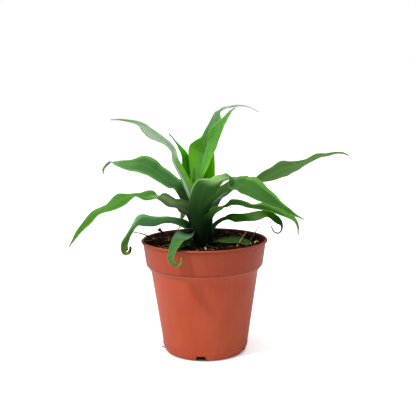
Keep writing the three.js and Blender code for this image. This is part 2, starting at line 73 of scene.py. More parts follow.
# Painted shade in the creases at shoulder, collar and bead: the height and darkness of each, and
# from where to where the shade fades beside its middle
POT_CREASES = [(73.2, 0.25), (76.6, 0.65), (96.3, 0.55)]
CREASE_FADE = (0.0003, 0.0014)
# A cone between the two faces of the collar, which parts the inside, painted dark as shade, from
# the outside: its radius at height 0, its slope, and the heights between which the inside begins
BETWEEN_FACES = (0.0395, 0.0399)
BETWEEN_SLOPE = 0.134
INSIDE_FROM = (0.077, 0.080)
# Where other marks and painted shade set in, in metres: heights, and for the painted shade on
# the right side the way to the right
COLLAR_SHADE_FROM = (0.074, 0.079)
SMEAR_FROM = (0.082, 0.099)
DUST_UP_TO = (0.0, 0.030)
RIGHT_SHADE_FROM = (-0.03, 0.05)


def rounded(corners):
    """Rounds the corners of an open outline of (radius, height, rounding), in millimetres."""
    outline = []
    for i, (r, z, rounding) in enumerate(corners):
        here = Vector((r, z))
        if rounding == 0 or i in (0, len(corners) - 1):
            outline.append(here)
            continue
        before = Vector(corners[i - 1][:2]) - here
        after = Vector(corners[i + 1][:2]) - here
        reach = min(rounding, before.length * CORNER_REACH, after.length * CORNER_REACH)
        start = here + before.normalized() * reach
        end = here + after.normalized() * reach
        for k in range(CORNER_STEPS + 1):
            t = k / CORNER_STEPS
            outline.append(start.lerp(here, t).lerp(here.lerp(end, t), t))
    return outline


def made_object(name, mesh):
    piece = bpy.data.objects.new(name, mesh)
    bpy.context.collection.objects.link(piece)
    return piece


def kept(name, mesh):
    """Turns a bmesh into mesh data of that name and frees it."""
    data = bpy.data.meshes.new(name)
    mesh.to_mesh(data)
    mesh.free()
    return data


def faced_out(mesh):
    """Turns the faces of a bmesh outwards and makes them smooth."""
    bmesh.ops.recalc_face_normals(mesh, faces=mesh.faces)
    for face in mesh.faces:
        face.smooth = True


def turned_solid(name, outline, sides, lift=None):
    """Turns an outline that starts and ends on the axis into a closed mesh with smooth faces.
    lift gives a point's extra height in millimetres from its x, y and z."""
    mesh = bmesh.new()
    rings = []
    for point in outline:
        if point[0] < 1e-6:
            rings.append([mesh.verts.new((0, 0, point[1] * MM))])
            continue
        ring = []
        for k in range(sides):
            angle = 2 * math.pi * k / sides
            x = point[0] * math.cos(angle)
            y = point[0] * math.sin(angle)
            z = point[1] + (lift(x, y, point[1]) if lift else 0)
            ring.append(mesh.verts.new((x * MM, y * MM, z * MM)))
        rings.append(ring)
    for low, high in zip(rings, rings[1:]):
        for k in range(sides):
            foot = [low[k % len(low)], low[(k + 1) % len(low)]]
            head = [high[(k + 1) % len(high)], high[k % len(high)]]
            mesh.faces.new(list(dict.fromkeys(foot + head)))
    faced_out(mesh)
    return made_object(name, kept(name, mesh))


def settle(piece):
    """Replaces a piece's mesh by what its modifiers make of it."""
    seen = piece.evaluated_get(bpy.context.evaluated_depsgraph_get())
    mesh = bpy.data.meshes.new_from_object(seen)
    piece.modifiers.clear()
    piece.data = mesh
    mesh.name = piece.name


def slot_cutter(angle):
    """A trapezoid bar that runs outwards through the corner of the pot."""
    foot = SLOT_FOOT_WIDTH / 2
    top = SLOT_TOP_WIDTH / 2
    outline = [(-foot, SLOT_FOOT), (foot, SLOT_FOOT), (top, SLOT_HEIGHT), (-top, SLOT_HEIGHT)]
    mesh = bmesh.new()
    ends = []
    for radius in (SLOT_INNER_RADIUS, SLOT_OUTER_RADIUS):
        ends.append([mesh.verts.new((radius * MM, y * MM, z * MM)) for y, z in outline])
    mesh.faces.new(ends[0])
    mesh.faces.new(ends[1])
    for k in range(4):
        mesh.faces.new([ends[0][k], ends[0][(k + 1) % 4], ends[1][(k + 1) % 4], ends[1][k]])
    bmesh.ops.recalc_face_normals(mesh, faces=mesh.faces)
    mesh.transform(Matrix.Rotation(math.radians(angle), 4, "Z"))
    return made_object("slot_cutter", kept("slot_cutter", mesh))


def node(tree, kind, sockets=None, **settings):
    """Adds a node to a tree. Each socket gets a value or the output of another node."""
    made = tree.nodes.new(kind)
    for key, value in settings.items():
        setattr(made, key, value)
    for key, value in (sockets or {}).items():
        if isinstance(value, bpy.types.NodeSocket):
            tree.links.new(value, made.inputs[key])
        else:
            made.inputs[key].default_value = value
    return made


def srgb(red, green, blue):
    """A colour as seen on a screen, 0 to 255, as the linear colour that a shader takes."""
    linear = []
    for part in (red, green, blue):
        share = part / 255
        linear.append(share / 12.92 if share <= 0.04045 else ((share + 0.055) / 1.055) ** 2.4)
    return (*linear, 1.0)


def mixed(tree, share, first, second):
    """Mixes two colours by a share of 0 to 1."""
    return node(tree, "ShaderNodeMix", {0: share, 6: first, 7: second}, data_type="RGBA").outputs[2]


def eased(tree, value, low, high, out_low=0.0, out_high=1.0):
    """Maps a value to a smooth step between two limits."""
    made = node(tree, "ShaderNodeMapRange", {0: value, 1: low, 2: high, 3: out_low, 4: out_high},
                interpolation_type="SMOOTHSTEP")
    return made.outputs[0]


def maths(tree, kind, first, second=0.0):
    return node(tree, "ShaderNodeMath", {0: first, 1: second}, operation=kind).outputs[0]


def plus(tree, first, second):
    return maths(tree, "ADD", first, second)


def times(tree, first, second):
    return maths(tree, "MULTIPLY", first, second)


def mottle(tree, place, scale, detail):
    """A soft noise of 0 to 1, with scale patches to a metre and finer ones in them."""
    return node(tree, "ShaderNodeTexNoise", {"Vector": place, "Scale": scale, "Detail": detail}).outputs[0]


def bump(tree, shader, relief, strength, height):
    """Roughens a shader by a relief of 0 to 1 that is so many metres high."""
    made = node(tree, "ShaderNodeBump", {"Height": relief, "Strength": strength, "Distance": height})
    tree.links.new(made.outputs[0], shader.inputs["Normal"])


def finish(name, constants):
    """A new material whose shader has these constants: returns it, its tree and the shader."""
    material = bpy.data.materials.new(name)
    material.use_nodes = True
    tree = material.node_tree
    tree.nodes.clear()
    shader = node(tree, "ShaderNodeBsdfPrincipled", constants)
    node(tree, "ShaderNodeOutputMaterial", {"Surface": shader.outputs[0]})
    return material, tree, shader


def smudges(tree, place, scale, amount):
    """Dust or soil smudges: a mask that gathers in patches, broken up by fine specks."""
    patch = eased(tree, mottle(tree, place, scale, 4.0), 0.52, 0.72, 0.0, amount)
    speck = eased(tree, mottle(tree, place, scale * 14, 2.0), 0.45, 0.7, 0.3, 1.0)
    return times(tree, patch, speck)


CLAY = srgb(184, 70, 35)
CLAY_CLOUD = srgb(194, 80, 43)
CLAY_SCUFF = srgb(214, 124, 96)
CLAY_PAINTED_SHADE = srgb(150, 52, 20)
COLLAR_PAINTED_SHADE = srgb(146, 48, 20)
CREASE_PAINTED_SHADE = srgb(110, 40, 24)
INSIDE_PAINTED_SHADE = srgb(86, 20, 14)
DUST = srgb(204, 140, 112)
PEAT_SMEAR = srgb(96, 52, 36)


def moulded_plastic():
    """Satin polypropylene: faint upright draw marks, a fine skin, dust and smudges of peat, and
    painted shade in the creases, inside above the peat, on the collar and down the right side."""
    material, tree, shader = finish("moulded_terracotta_plastic", {"IOR": 1.49, "Specular IOR Level": 0.3})
    place = node(tree, "ShaderNodeTexCoord").outputs["Object"]
    side, depth, height = node(tree, "ShaderNodeSeparateXYZ", {0: place}).outputs
    drawn = node(tree, "ShaderNodeMapping", {"Vector": place, "Scale": (260.0, 260.0, 9.0)}).outputs[0]
    marks = mottle(tree, drawn, 1.0, 3.0)
    cloud = mottle(tree, place, 22.0, 3.0)
    skin = mottle(tree, place, 2600.0, 2.0)
    dust = smudges(tree, place, 55.0, 0.3)
    peat = smudges(tree, place, 90.0, 0.8)
    colour = mixed(tree, eased(tree, cloud, 0.3, 0.7), CLAY, CLAY_CLOUD)
    colour = mixed(tree, eased(tree, marks, 0.35, 0.75, 0.0, 0.1), colour, CLAY_SCUFF)
    # Painted shade: the right side of the pot is darker, as the light falls from the left
    colour = mixed(tree, eased(tree, side, *RIGHT_SHADE_FROM, 0.0, 0.35), colour, CLAY_PAINTED_SHADE)
    # Painted shade: the collar is darker, as the leaves above shade it
    colour = mixed(tree, eased(tree, height, *COLLAR_SHADE_FROM, 0.0, 0.45), colour, COLLAR_PAINTED_SHADE)
    # Painted shade: a dark line in each crease, where shade gathers under the edges
    for crease, darkness in POT_CREASES:
        off = maths(tree, "ABSOLUTE", maths(tree, "SUBTRACT", height, crease * MM))
        colour = mixed(tree, eased(tree, off, *CREASE_FADE, darkness, 0.0), colour, CREASE_PAINTED_SHADE)
    flat = node(tree, "ShaderNodeCombineXYZ", {0: side, 1: depth}).outputs[0]
    out = node(tree, "ShaderNodeVectorMath", {0: flat}, operation="LENGTH").outputs["Value"]
    foot = maths(tree, "SUBTRACT", out, times(tree, height, BETWEEN_SLOPE))
    # Painted shade: the inside of the pot above the peat is darkened to a deep maroon
    inside = times(tree, eased(tree, foot, *BETWEEN_FACES, 0.85, 0.0), eased(tree, height, *INSIDE_FROM))
    colour = mixed(tree, inside, colour, INSIDE_PAINTED_SHADE)
    colour = mixed(tree, times(tree, dust, eased(tree, height, *DUST_UP_TO, 1.0, 0.25)), colour, DUST)
    near_lip = eased(tree, height, *SMEAR_FROM, 0.1125, 0.45)
    tree.links.new(mixed(tree, times(tree, peat, near_lip), colour, PEAT_SMEAR), shader.inputs["Base Color"])
    rough = plus(tree, eased(tree, cloud, 0.2, 0.8, 0.40, 0.52), times(tree, dust, 0.3))
    tree.links.new(rough, shader.inputs["Roughness"])
    bump(tree, shader, plus(tree, times(tree, marks, 0.6), times(tree, skin, 0.4)), 0.25, 0.0002)
    return material


pot_outline = [Vector((0, 0))] + rounded(POT_CORNERS) + rounded(POT_INSIDE) + [Vector((0, POT_WALL))]
pot = turned_solid("nursery_pot", pot_outline, POT_SIDES)
for k in range(SLOT_COUNT):
    cutter = slot_cutter(SLOT_FIRST_ANGLE + k * 360 / SLOT_COUNT)
    cut = pot.modifiers.new("slot", "BOOLEAN")
    cut.operation = "DIFFERENCE"
    cut.solver = "EXACT"
    cut.object = cutter
    settle(pot)
    bpy.data.objects.remove(cutter)
pot.data.set_sharp_from_angle(angle=math.radians(SHARP_CORNER))
pot.data.materials.clear()
pot.data.materials.append(moulded_plastic())
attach(pot, "root")
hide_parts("pot")


# The peat fills the pot to just under the lip. It is dark and moist, crumbly on top, and it lies
# a little higher at the wall than at the stem. Its underside shows in the drain slots.

SOIL_LEVEL = 92.5
# The top rises towards the wall by so much at a radius, and falls a little towards the right
SOIL_RISE = 4.0
SOIL_RISE_RADIUS = 54
SOIL_TILT = 0.012
# Relief of the surface: changes per millimetre, and height in millimetres
HEAPS = (0.07, 1.1)
CRUMBLE = (0.33, 0.55)
CRUMBLE_FRACTAL = (0.8, 2.1, 3)
LUMPS = (0.42, 0.9)
LUMP_MIDDLE = 0.45
RELIEF_LAYER = 3.1
SOIL_RIM = 51.5
STEM_HOLE = 6.3
STEM_HOLE_DEPTH = 20
SOIL_RINGS = 84
SOIL_SIDES = 264
SOIL_SIDE = [(30.9, 1.4), (34.6, 4.8), (44.9, 71.0), (46.3, 73.6), (48.9, 76.8), (50.1, 86.0)]


def soil_relief(x, y, z):
    """Lift of the soil's surface over its level, in millimetres."""
    if z < SOIL_LEVEL - 1:
        return 0.0
    out = math.hypot(x, y) / SOIL_RISE_RADIUS
    place = Vector((x, y, RELIEF_LAYER))
    heap = noise.noise(place * HEAPS[0]) * HEAPS[1]
    crumble = noise.fractal(place * CRUMBLE[0], *CRUMBLE_FRACTAL) * CRUMBLE[1]
    lump = (LUMP_MIDDLE - noise.voronoi(place * LUMPS[0])[0][0]) * LUMPS[1]
    return SOIL_RISE * out * out - SOIL_TILT * x + heap + crumble + lump


def shader_group(name, vectors, numbers, results):
    """A new shader node group with named sockets: returns it and what its inputs bring."""
    group = bpy.data.node_groups.new(name, "ShaderNodeTree")
    for label in vectors:
        group.interface.new_socket(label, in_out="INPUT", socket_type="NodeSocketVector")
    for label in numbers:
        group.interface.new_socket(label, in_out="INPUT", socket_type="NodeSocketFloat")
    for label in results:
        group.interface.new_socket(label, in_out="OUTPUT", socket_type="NodeSocketFloat")
    return group, node(group, "NodeGroupInput").outputs


def placed(tree, group, values):
    """Places a shader node group in a material with its own values: returns its outputs."""
    return node(tree, "ShaderNodeGroup", values, node_tree=group).outputs


def peat_group():
    """What all bits of peat show: brown crumbs, wet patches and fine pale fibres."""
    group, given = shader_group("peat_make_up", ["Place"], ["Straw share"],
                                ["Brown", "Wet", "Straw", "Roughness", "Relief"])
    crumbs = mottle(group, given["Place"], 330.0, 4.0)
    damp = mottle(group, given["Place"], 60.0, 2.0)
    drawn = node(group, "ShaderNodeMapping", {
        "Vector": given["Place"], "Rotation": (0.0, 0.0, 0.7), "Scale": (260.0, 1500.0, 700.0)})
    fibres = mottle(group, drawn.outputs[0], 1.0, 1.0)
    node(group, "NodeGroupOutput", {
        "Brown": eased(group, crumbs, 0.38, 0.68),
        "Wet": eased(group, damp, 0.45, 0.65, 0.0, 0.6),
        "Straw": eased(group, fibres, 0.66, 0.78, 0.0, given["Straw share"]),
        "Roughness": eased(group, damp, 0.4, 0.65, 0.95, 0.6),
        "Relief": plus(group, crumbs, fibres)})
    return group


PEAT_MAKE_UP = peat_group()


def peat_finish(name, dark, brown, straw, straw_share):
    """Moist peat: nearly black where wet, brown where dry, with fine pale fibres."""
    material, tree, shader = finish(name, {"Specular IOR Level": 0.12})
    place = node(tree, "ShaderNodeTexCoord").outputs["Object"]
    peat = placed(tree, PEAT_MAKE_UP, {"Place": place, "Straw share": straw_share})
    colour = mixed(tree, peat["Brown"], dark, brown)
    colour = mixed(tree, peat["Wet"], colour, dark)
    tree.links.new(mixed(tree, peat["Straw"], colour, straw), shader.inputs["Base Color"])
    tree.links.new(peat["Roughness"], shader.inputs["Roughness"])
    bump(tree, shader, peat["Relief"], 0.7, 0.0006)
    return material


soil_outline = [Vector((0, SOIL_SIDE[0][1]))] + [Vector(point) for point in SOIL_SIDE]
for ring in range(SOIL_RINGS + 1):
    soil_outline.append(Vector((SOIL_RIM + (STEM_HOLE - SOIL_RIM) * ring / SOIL_RINGS, SOIL_LEVEL)))
soil_outline.append(Vector((STEM_HOLE, SOIL_LEVEL - STEM_HOLE_DEPTH)))
soil_outline.append(Vector((0, SOIL_LEVEL - STEM_HOLE_DEPTH)))
soil = turned_solid("peat", soil_outline, SOIL_SIDES, soil_relief)
PEAT = peat_finish("moist_peat", srgb(6, 4, 3), srgb(52, 30, 17), srgb(158, 128, 88), 0.6)
soil.data.materials.append(PEAT)
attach(soil, "root")
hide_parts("soil")


# Crumbs and short dark and pale fibres lie thick on the peat. All are scattered over its top by
# one rule, turned at random and bent a little, each kind from its own fixed seed.

CRUMB_RADIUS = 0.75
FIBRE_LENGTH = 7.0
FIBRE_RADIUS = 0.2
# A fibre bows sideways by this share of its half length, and arches up by so many millimetres
FIBRE_BOW = 0.45
FIBRE_ARCH = 1.2
BENDS_PER_METRE = 210.0


def litter_tree(name, bit):
    """Scatters one kind of bit over the top of the peat. bit adds its shape to the tree."""
    tree = bpy.data.node_groups.new(name, "GeometryNodeTree")
    sockets = tree.interface
    sockets.new_socket("Geometry", in_out="INPUT", socket_type="NodeSocketGeometry")
    for label in ("Per square metre", "Smallest", "Largest", "Lowest", "Widest", "Tilt", "Bend"):
        sockets.new_socket(label, in_out="INPUT", socket_type="NodeSocketFloat")
    sockets.new_socket("Seed", in_out="INPUT", socket_type="NodeSocketInt")
    sockets.new_socket("Finish", in_out="INPUT", socket_type="NodeSocketMaterial")
    sockets.new_socket("Geometry", in_out="OUTPUT", socket_type="NodeSocketGeometry")
    given = node(tree, "NodeGroupInput").outputs
    place = node(tree, "GeometryNodeInputPosition").outputs[0]
    side, depth, height = node(tree, "ShaderNodeSeparateXYZ", {0: place}).outputs
    flat = node(tree, "ShaderNodeCombineXYZ", {0: side, 1: depth}).outputs[0]
    out = node(tree, "ShaderNodeVectorMath", {0: flat}, operation="LENGTH").outputs["Value"]
    inside = maths(tree, "LESS_THAN", out, given["Widest"])
    on_top = maths(tree, "GREATER_THAN", height, given["Lowest"])
    points = node(tree, "GeometryNodeDistributePointsOnFaces", {
        "Mesh": given["Geometry"], "Selection": times(tree, inside, on_top),
        "Density": given["Per square metre"], "Seed": given["Seed"]})
    size = node(tree, "FunctionNodeRandomValue", {
        2: given["Smallest"], 3: given["Largest"], "Seed": given["Seed"]}, data_type="FLOAT")
    lean = node(tree, "ShaderNodeCombineXYZ", {0: given["Tilt"], 1: given["Tilt"], 2: math.pi})
    back = node(tree, "ShaderNodeVectorMath", {0: lean.outputs[0], 1: (-1.0, -1.0, -1.0)},
                operation="MULTIPLY")
    turn = node(tree, "FunctionNodeRandomValue", {
        0: back.outputs[0], 1: lean.outputs[0], "Seed": given["Seed"]}, data_type="FLOAT_VECTOR")
    copies = node(tree, "GeometryNodeInstanceOnPoints", {
        "Points": points.outputs["Points"], "Instance": bit(tree), "Rotation": turn.outputs[0],
        "Scale": size.outputs[1]})
    real = node(tree, "GeometryNodeRealizeInstances", {0: copies.outputs[0]})
    wander = node(tree, "ShaderNodeTexNoise", {
        "Vector": place, "Scale": BENDS_PER_METRE, "Detail": 1.0})
    centred = node(tree, "ShaderNodeVectorMath", {0: wander.outputs["Color"], 1: (0.5, 0.5, 0.5)},
                   operation="SUBTRACT")
    pushed = node(tree, "ShaderNodeVectorMath", {0: centred.outputs[0], "Scale": given["Bend"]},
                  operation="SCALE")
    bent = node(tree, "GeometryNodeSetPosition", {"Geometry": real.outputs[0], "Offset": pushed.outputs[0]})
    dressed = node(tree, "GeometryNodeSetMaterial", {
        "Geometry": bent.outputs[0], "Material": given["Finish"]})
    node(tree, "NodeGroupOutput", {0: dressed.outputs[0]})
    return tree


def crumb_shape(tree):
    crumb = node(tree, "GeometryNodeMeshIcoSphere", {"Radius": CRUMB_RADIUS * MM, "Subdivisions": 1})
    return crumb.outputs[0]


def fibre_shape(tree):
    half = FIBRE_LENGTH * MM / 2
    arc = node(tree, "GeometryNodeCurveQuadraticBezier", {
        "Resolution": 5, "Start": (-half, 0.0, 0.2 * MM), "End": (half, 0.0, 0.3 * MM),
        "Middle": (0.0, half * FIBRE_BOW, FIBRE_ARCH * MM)})
    ring = node(tree, "GeometryNodeCurvePrimitiveCircle", {"Resolution": 4, "Radius": FIBRE_RADIUS * MM})
    tube = node(tree, "GeometryNodeCurveToMesh", {
        "Curve": arc.outputs[0], "Profile Curve": ring.outputs[0], "Fill Caps": True})
    return tube.outputs[0]


def scattered(name, tree, values):
    """A new piece of litter over the peat, as a plain mesh. values fill the tree's named inputs."""
    piece = made_object(name, soil.data.copy())
    spread = piece.modifiers.new("litter", "NODES")
    spread.node_group = tree
    for item in tree.interface.items_tree:
        if item.item_type == "SOCKET" and item.in_out == "INPUT" and item.name in values:
            spread[item.identifier] = values[item.name]
    settle(piece)
    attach(piece, "root")


CRUMBS = litter_tree("peat_crumbs", crumb_shape)
FIBRES = litter_tree("peat_fibres", fibre_shape)
CRUMB_FINISH = peat_finish("peat_crumb", srgb(7, 5, 4), srgb(66, 38, 22), srgb(140, 100, 62), 0.35)
STRAW_FINISH = peat_finish("dry_fibre", srgb(104, 70, 40), srgb(168, 122, 74), srgb(212, 182, 136), 0.6)
OVER_SOIL = {"Lowest": 0.090, "Widest": 0.0498}
scattered("peat_crumbs", CRUMBS, {
    **OVER_SOIL, "Per square metre": 330000.0, "Smallest": 0.35, "Largest": 1.5,
    "Tilt": 3.1, "Bend": 0.0016, "Seed": 4, "Finish": CRUMB_FINISH})
scattered("peat_fibres_dark", FIBRES, {
    **OVER_SOIL, "Per square metre": 80000.0, "Smallest": 0.5, "Largest": 1.6,
    "Tilt": 0.3, "Bend": 0.009, "Seed": 9, "Finish": CRUMB_FINISH})
scattered("peat_fibres_pale", FIBRES, {
    **OVER_SOIL, "Per square metre": 34000.0, "Smallest": 0.4, "Largest": 1.3,
    "Tilt": 0.3, "Bend": 0.008, "Seed": 21, "Finish": STRAW_FINISH})


# Bigger bits stand out of the peat: straws, dark twigs, bark, a cream stub and a bit of grit, a
# fibre that hangs over the rim and a root that grew out of a drain slot. Each is a thin tapered
# stick along a smooth line.

STICK_SIDES = 8
STICK_STEPS = 12
# Unevenness of a stick: changes per millimetre, and height as a share of its radius
KNOBBLES = (0.9, 0.18)


def through(points, share):
    """Place and direction on a smooth curve through points, at a share of 0 to 1 along it."""
    spans = len(points) - 1
    at = min(max(share, 0.0) * spans, spans - 1e-7)
    k = int(at)
    t = at - k
    here, following = points[k], points[k + 1]
    before = points[k - 1] if k > 0 else here * 2 - following
    after = points[k + 2] if k + 2 <= spans else following * 2 - here
    slope = following - before
    square = before * 2 - here * 5 + following * 4 - after
    cube = here * 3 - before - following * 3 + after
    place = here + (slope * t + square * t ** 2 + cube * t ** 3) / 2
    way = (slope + square * (2 * t) + cube * (3 * t ** 2)) / 2
    return place, way


def stick(name, run, thick_start, thick_end, material):
    """A round stick that follows a run of points in millimetres and tapers to its end."""
    points = [Vector(point) for point in run]
    steps = STICK_STEPS * (len(points) - 1)
    mesh = bmesh.new()
    rings = []
    side = Vector((0.3, 0.8, 0.5))
    for i in range(steps + 1):
        place, way = through(points, i / steps)
        way.normalize()
        side = (side - way * side.dot(way)).normalized()
        other = way.cross(side)
        radius = thick_start + (thick_end - thick_start) * i / steps
        radius *= 0.5 * (1 + KNOBBLES[1] * noise.noise(place * KNOBBLES[0]))
        ring = []
        for k in range(STICK_SIDES):
            angle = 2 * math.pi * k / STICK_SIDES
            outward = side * math.cos(angle) + other * math.sin(angle)
            ring.append(mesh.verts.new((place + outward * radius) * MM))
        rings.append(ring)
    for low, high in zip(rings, rings[1:]):
        for k in range(STICK_SIDES):
            following = (k + 1) % STICK_SIDES
            mesh.faces.new([low[k], low[following], high[following], high[k]])
    caps = [mesh.faces.new(rings[0]), mesh.faces.new(rings[-1])]
    faced_out(mesh)
    for cap in caps:
        cap.smooth = False
    piece = made_object(name, kept(name, mesh))
    piece.data.materials.append(material)
    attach(piece, "root")


PALE_STRAW = peat_finish("pale_straw", srgb(176, 138, 90), srgb(214, 178, 124), srgb(232, 206, 160), 0.5)
DARK_TWIG = peat_finish("dark_twig", srgb(26, 18, 14), srgb(64, 44, 34), srgb(100, 78, 60), 0.4)
GREY_ROOT = peat_finish("grey_root", srgb(92, 76, 64), srgb(142, 122, 104), srgb(176, 160, 142), 0.5)
CREAM_GRIT = peat_finish("cream_grit", srgb(206, 184, 140), srgb(236, 220, 184), srgb(248, 238, 214), 0.5)

stick("straw_pale", [(25, -20, 91), (31.3, -8, 98.5), (36.8, 0, 104.4)], 0.95, 0.8, PALE_STRAW)
stick("straw_thin", [(37, 3.6, 91), (43, 6, 100), (48, 8, 107.5)], 0.9, 0.7, GREY_ROOT)
stick("stub_cream", [(1.9, -31.5, 90.5), (1.4, -29.5, 94), (0.8, -28, 96.4)], 1.8, 1.3, CREAM_GRIT)
stick("twig_back_left", [(-34, 32.5, 92), (-37.5, 31, 97.5), (-40.5, 29, 101.5)], 2.2, 1.9, DARK_TWIG)
stick("twig_back_left_knob", [(-41.6, 29.5, 100.6), (-40, 28.6, 102.3)], 2.8, 2.4, DARK_TWIG)
stick("twig_back_mid", [(-30, 34, 92), (-29.5, 33, 96), (-30.2, 32, 99.4)], 1.6, 1.2, DARK_TWIG)
stick("twig_back_right", [(38, 21, 92), (38.4, 21.6, 96), (39, 22, 99.5)], 1.5, 1.2, DARK_TWIG)
stick("bark_left", [(-40.5, 30.5, 94.5), (-36.5, 32, 96.5), (-33, 31.5, 95)], 3.4, 2.6, DARK_TWIG)
stick("fibre_over_rim", [(-42, 5, 93), (-48.5, 0, 100.5), (-54, -4, 104), (-61, -6, 105.8)],
      1.5, 0.8, DARK_TWIG)
stick("root_from_slot", [(-22, -4.7, 3), (-32, -6.8, 2.2), (-38.6, -8, 4.6)], 1.2, 0.7, DARK_TWIG)
stick("grit_cream_right", [(42.6, -10.4, 96.2), (44.6, -9.4, 97.3), (46.2, -8.4, 96.4)],
      1.6, 1.3, CREAM_GRIT)


# The stem is short and thick, and stands in its hole in the peat. Nothing of it shows but the dark
# green sheaths of the oldest leaves, grooved lengthwise, with a scar where each one ends.

STEM_OUTLINE = [(4.2, -19.7), (6.0, -10.0), (6.0, 4.0), (6.4, 14.0), (6.8, 24.0), (6.0, 32.0), (3.8, 38.0)]
STEM_TIP = 41
STEM_SIDES = 96
STEM_STEPS = 10
STEM_SCARS = [2.5, 5.5, 9.0, 13.0]
SCAR_HALF = 0.5
SCAR_HEIGHT = 0.22
# Grooves round the stem: how many, how deep as a share of the radius, and turned how far
STEM_GROOVES = [(17, 0.022, 0.0), (31, 0.014, 2.0)]
SHEATH_VEINS = 12.0
SHEATH_DARK = srgb(6, 20, 10)
SHEATH_GREEN = srgb(18, 44, 22)
SHEATH_BURIED = srgb(20, 18, 10)
GREEN_FROM = (0.090, 0.112)


def veins_group():
    """Lengthwise veins of a pineapple leaf: many fine ones, and broad soft streaks between them."""
    group, given = shader_group("lengthwise_veins", [], ["Across", "Along", "Veins", "Seed"],
                                ["Fine", "Broad"])
    over = times(group, given["Across"], given["Veins"])
    fine_place = node(group, "ShaderNodeCombineXYZ", {
        0: over, 1: times(group, given["Along"], 3.0), 2: given["Seed"]})
    broad_place = node(group, "ShaderNodeCombineXYZ", {
        0: times(group, over, 0.16), 1: times(group, given["Along"], 2.2),
        2: plus(group, given["Seed"], 5.5)})
    node(group, "NodeGroupOutput", {
        "Fine": mottle(group, fine_place.outputs[0], 1.0, 2.0),
        "Broad": mottle(group, broad_place.outputs[0], 1.0, 2.0)})
    return group


VEINS = veins_group()


stem_points = [Vector(point) for point in STEM_OUTLINE]
stem_count = STEM_STEPS * (len(stem_points) - 1)
stem_outline = [Vector((0, SOIL_LEVEL + STEM_OUTLINE[0][1]))]
for i in range(stem_count + 1):
    around = through(stem_points, i / stem_count)[0]
    scar = sum(math.exp(-((around[1] - height) / SCAR_HALF) ** 2) for height in STEM_SCARS)
    stem_outline.append(Vector((around[0] + SCAR_HEIGHT * scar, SOIL_LEVEL + around[1])))
stem_outline.append(Vector((0, SOIL_LEVEL + STEM_TIP)))
stem = turned_solid("stem_core", stem_outline, STEM_SIDES)
for vertex in stem.data.vertices:
    angle = math.atan2(vertex.co.y, vertex.co.x)
    groove = 1 + sum(deep * math.sin(count * angle + turn) for count, deep, turn in STEM_GROOVES)
    vertex.co.x *= groove
    vertex.co.y *= groove


def sheath_finish():
    """Dark green leaf sheaths with fine grooves, browner where they stand in the peat."""
    material, tree, shader = finish("dark_sheath", {"Roughness": 0.55, "Specular IOR Level": 0.1})
    place = node(tree, "ShaderNodeTexCoord").outputs["Object"]
    side, depth, height = node(tree, "ShaderNodeSeparateXYZ", {0: place}).outputs
    around = maths(tree, "ARCTAN2", depth, side)
    veins = placed(tree, VEINS, {"Across": around, "Along": height, "Veins": SHEATH_VEINS, "Seed": 3.0})
    green = mixed(tree, eased(tree, veins["Broad"], 0.35, 0.65), SHEATH_DARK, SHEATH_GREEN)
    bare = eased(tree, height, *GREEN_FROM)
    tree.links.new(mixed(tree, bare, SHEATH_BURIED, green), shader.inputs["Base Color"])
    bump(tree, shader, veins["Fine"], 0.5, 0.0004)
    return material


stem.data.materials.append(sheath_finish())
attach(stem, "root")
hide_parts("stem")


# The youngest leaves stand nearly upright in the heart of the rosette, bright green where light
# comes through them. Every leaf is one long channelled blade whose base clasps the stem. It is
# laid out by stations: x, y, height above the soil and half width in millimetres, and its turn.

# Thickness in the middle, at the margin and in the narrow tip, and the least half width
BLADE_MIDDLE = 0.9
BLADE_MARGIN = 0.35
TIP_THICKNESS = 0.5
TIP_HALF = 0.4
# Half the arc across a blade, in degrees: where it clasps the stem and out in its open channel
CLASP = 68
CHANNEL = 15
CLASP_REACH = 13
BLADE_ROWS = 8
BLADE_COLUMNS = 16
# The edges wave up and down, one ahead of the other, and less where the blade is narrow
BLADE_WAVE = 0.35
WAVE_LENGTH = 23
WAVE_SHIFT = 1.9
WAVE_FULL_AT = 5
BLADE_SHARP = 60
BLADE_VEINS = 34.0
DRY_BROWN = srgb(120, 104, 84)
WILTED = srgb(140, 166, 84)


def blade_rows(heading, stations):
    """Rows along a blade: midrib, across, up, half width, cup, openness and way along."""
    spine = [Vector(station[:3]) for station in stations]
    shape = [Vector((station[3], station[4], 0)) for station in stations]
    side = Vector((-math.sin(math.radians(heading)), math.cos(math.radians(heading)), 0))
    count = (len(stations) - 1) * BLADE_ROWS
    rows = []
    along = 0.0
    for i in range(count + 1):
        point, way = through(spine, i / count)
        way.normalize()
        half, turn, _ = through(shape, i / count)[0]
        across = (side - way * side.dot(way)).normalized()
        across = Matrix.Rotation(math.radians(turn), 3, way) @ across
        if rows:
            along += (point - rows[-1][0]).length
        opening = math.exp(-(along / CLASP_REACH) ** 2)
        cup = math.radians(CHANNEL * (1 - opening) + CLASP * opening)
        rows.append((point, across, way.cross(across), max(half, TIP_HALF), cup, 1 - opening, along))
    return rows


def blade_point(row, u, face_side, phase):
    """A point of a row, u across from -1 to 1, on the upper face (1) or the under face (-1)."""
    point, across, up, half, cup, open_share, along = row
    radius = half / cup
    sink = radius * (1 - math.cos(cup)) * open_share / 2
    a = cup * u
    thick = BLADE_MARGIN + (BLADE_MIDDLE - BLADE_MARGIN) * (1 - abs(u) ** 3)
    thick = min(thick, TIP_THICKNESS + half / 2) / 2
    wave = math.sin(2 * math.pi * along / WAVE_LENGTH + phase + (WAVE_SHIFT if u > 0 else 0.0))
    lift = BLADE_WAVE * wave * u * u * open_share * min(1.0, half / WAVE_FULL_AT)
    place = point + across * ((radius - face_side * thick) * math.sin(a))
    place += up * (radius * (1 - math.cos(a)) - sink + face_side * thick * math.cos(a) + lift)
    return (place + Vector((0, 0, SOIL_LEVEL))) * MM


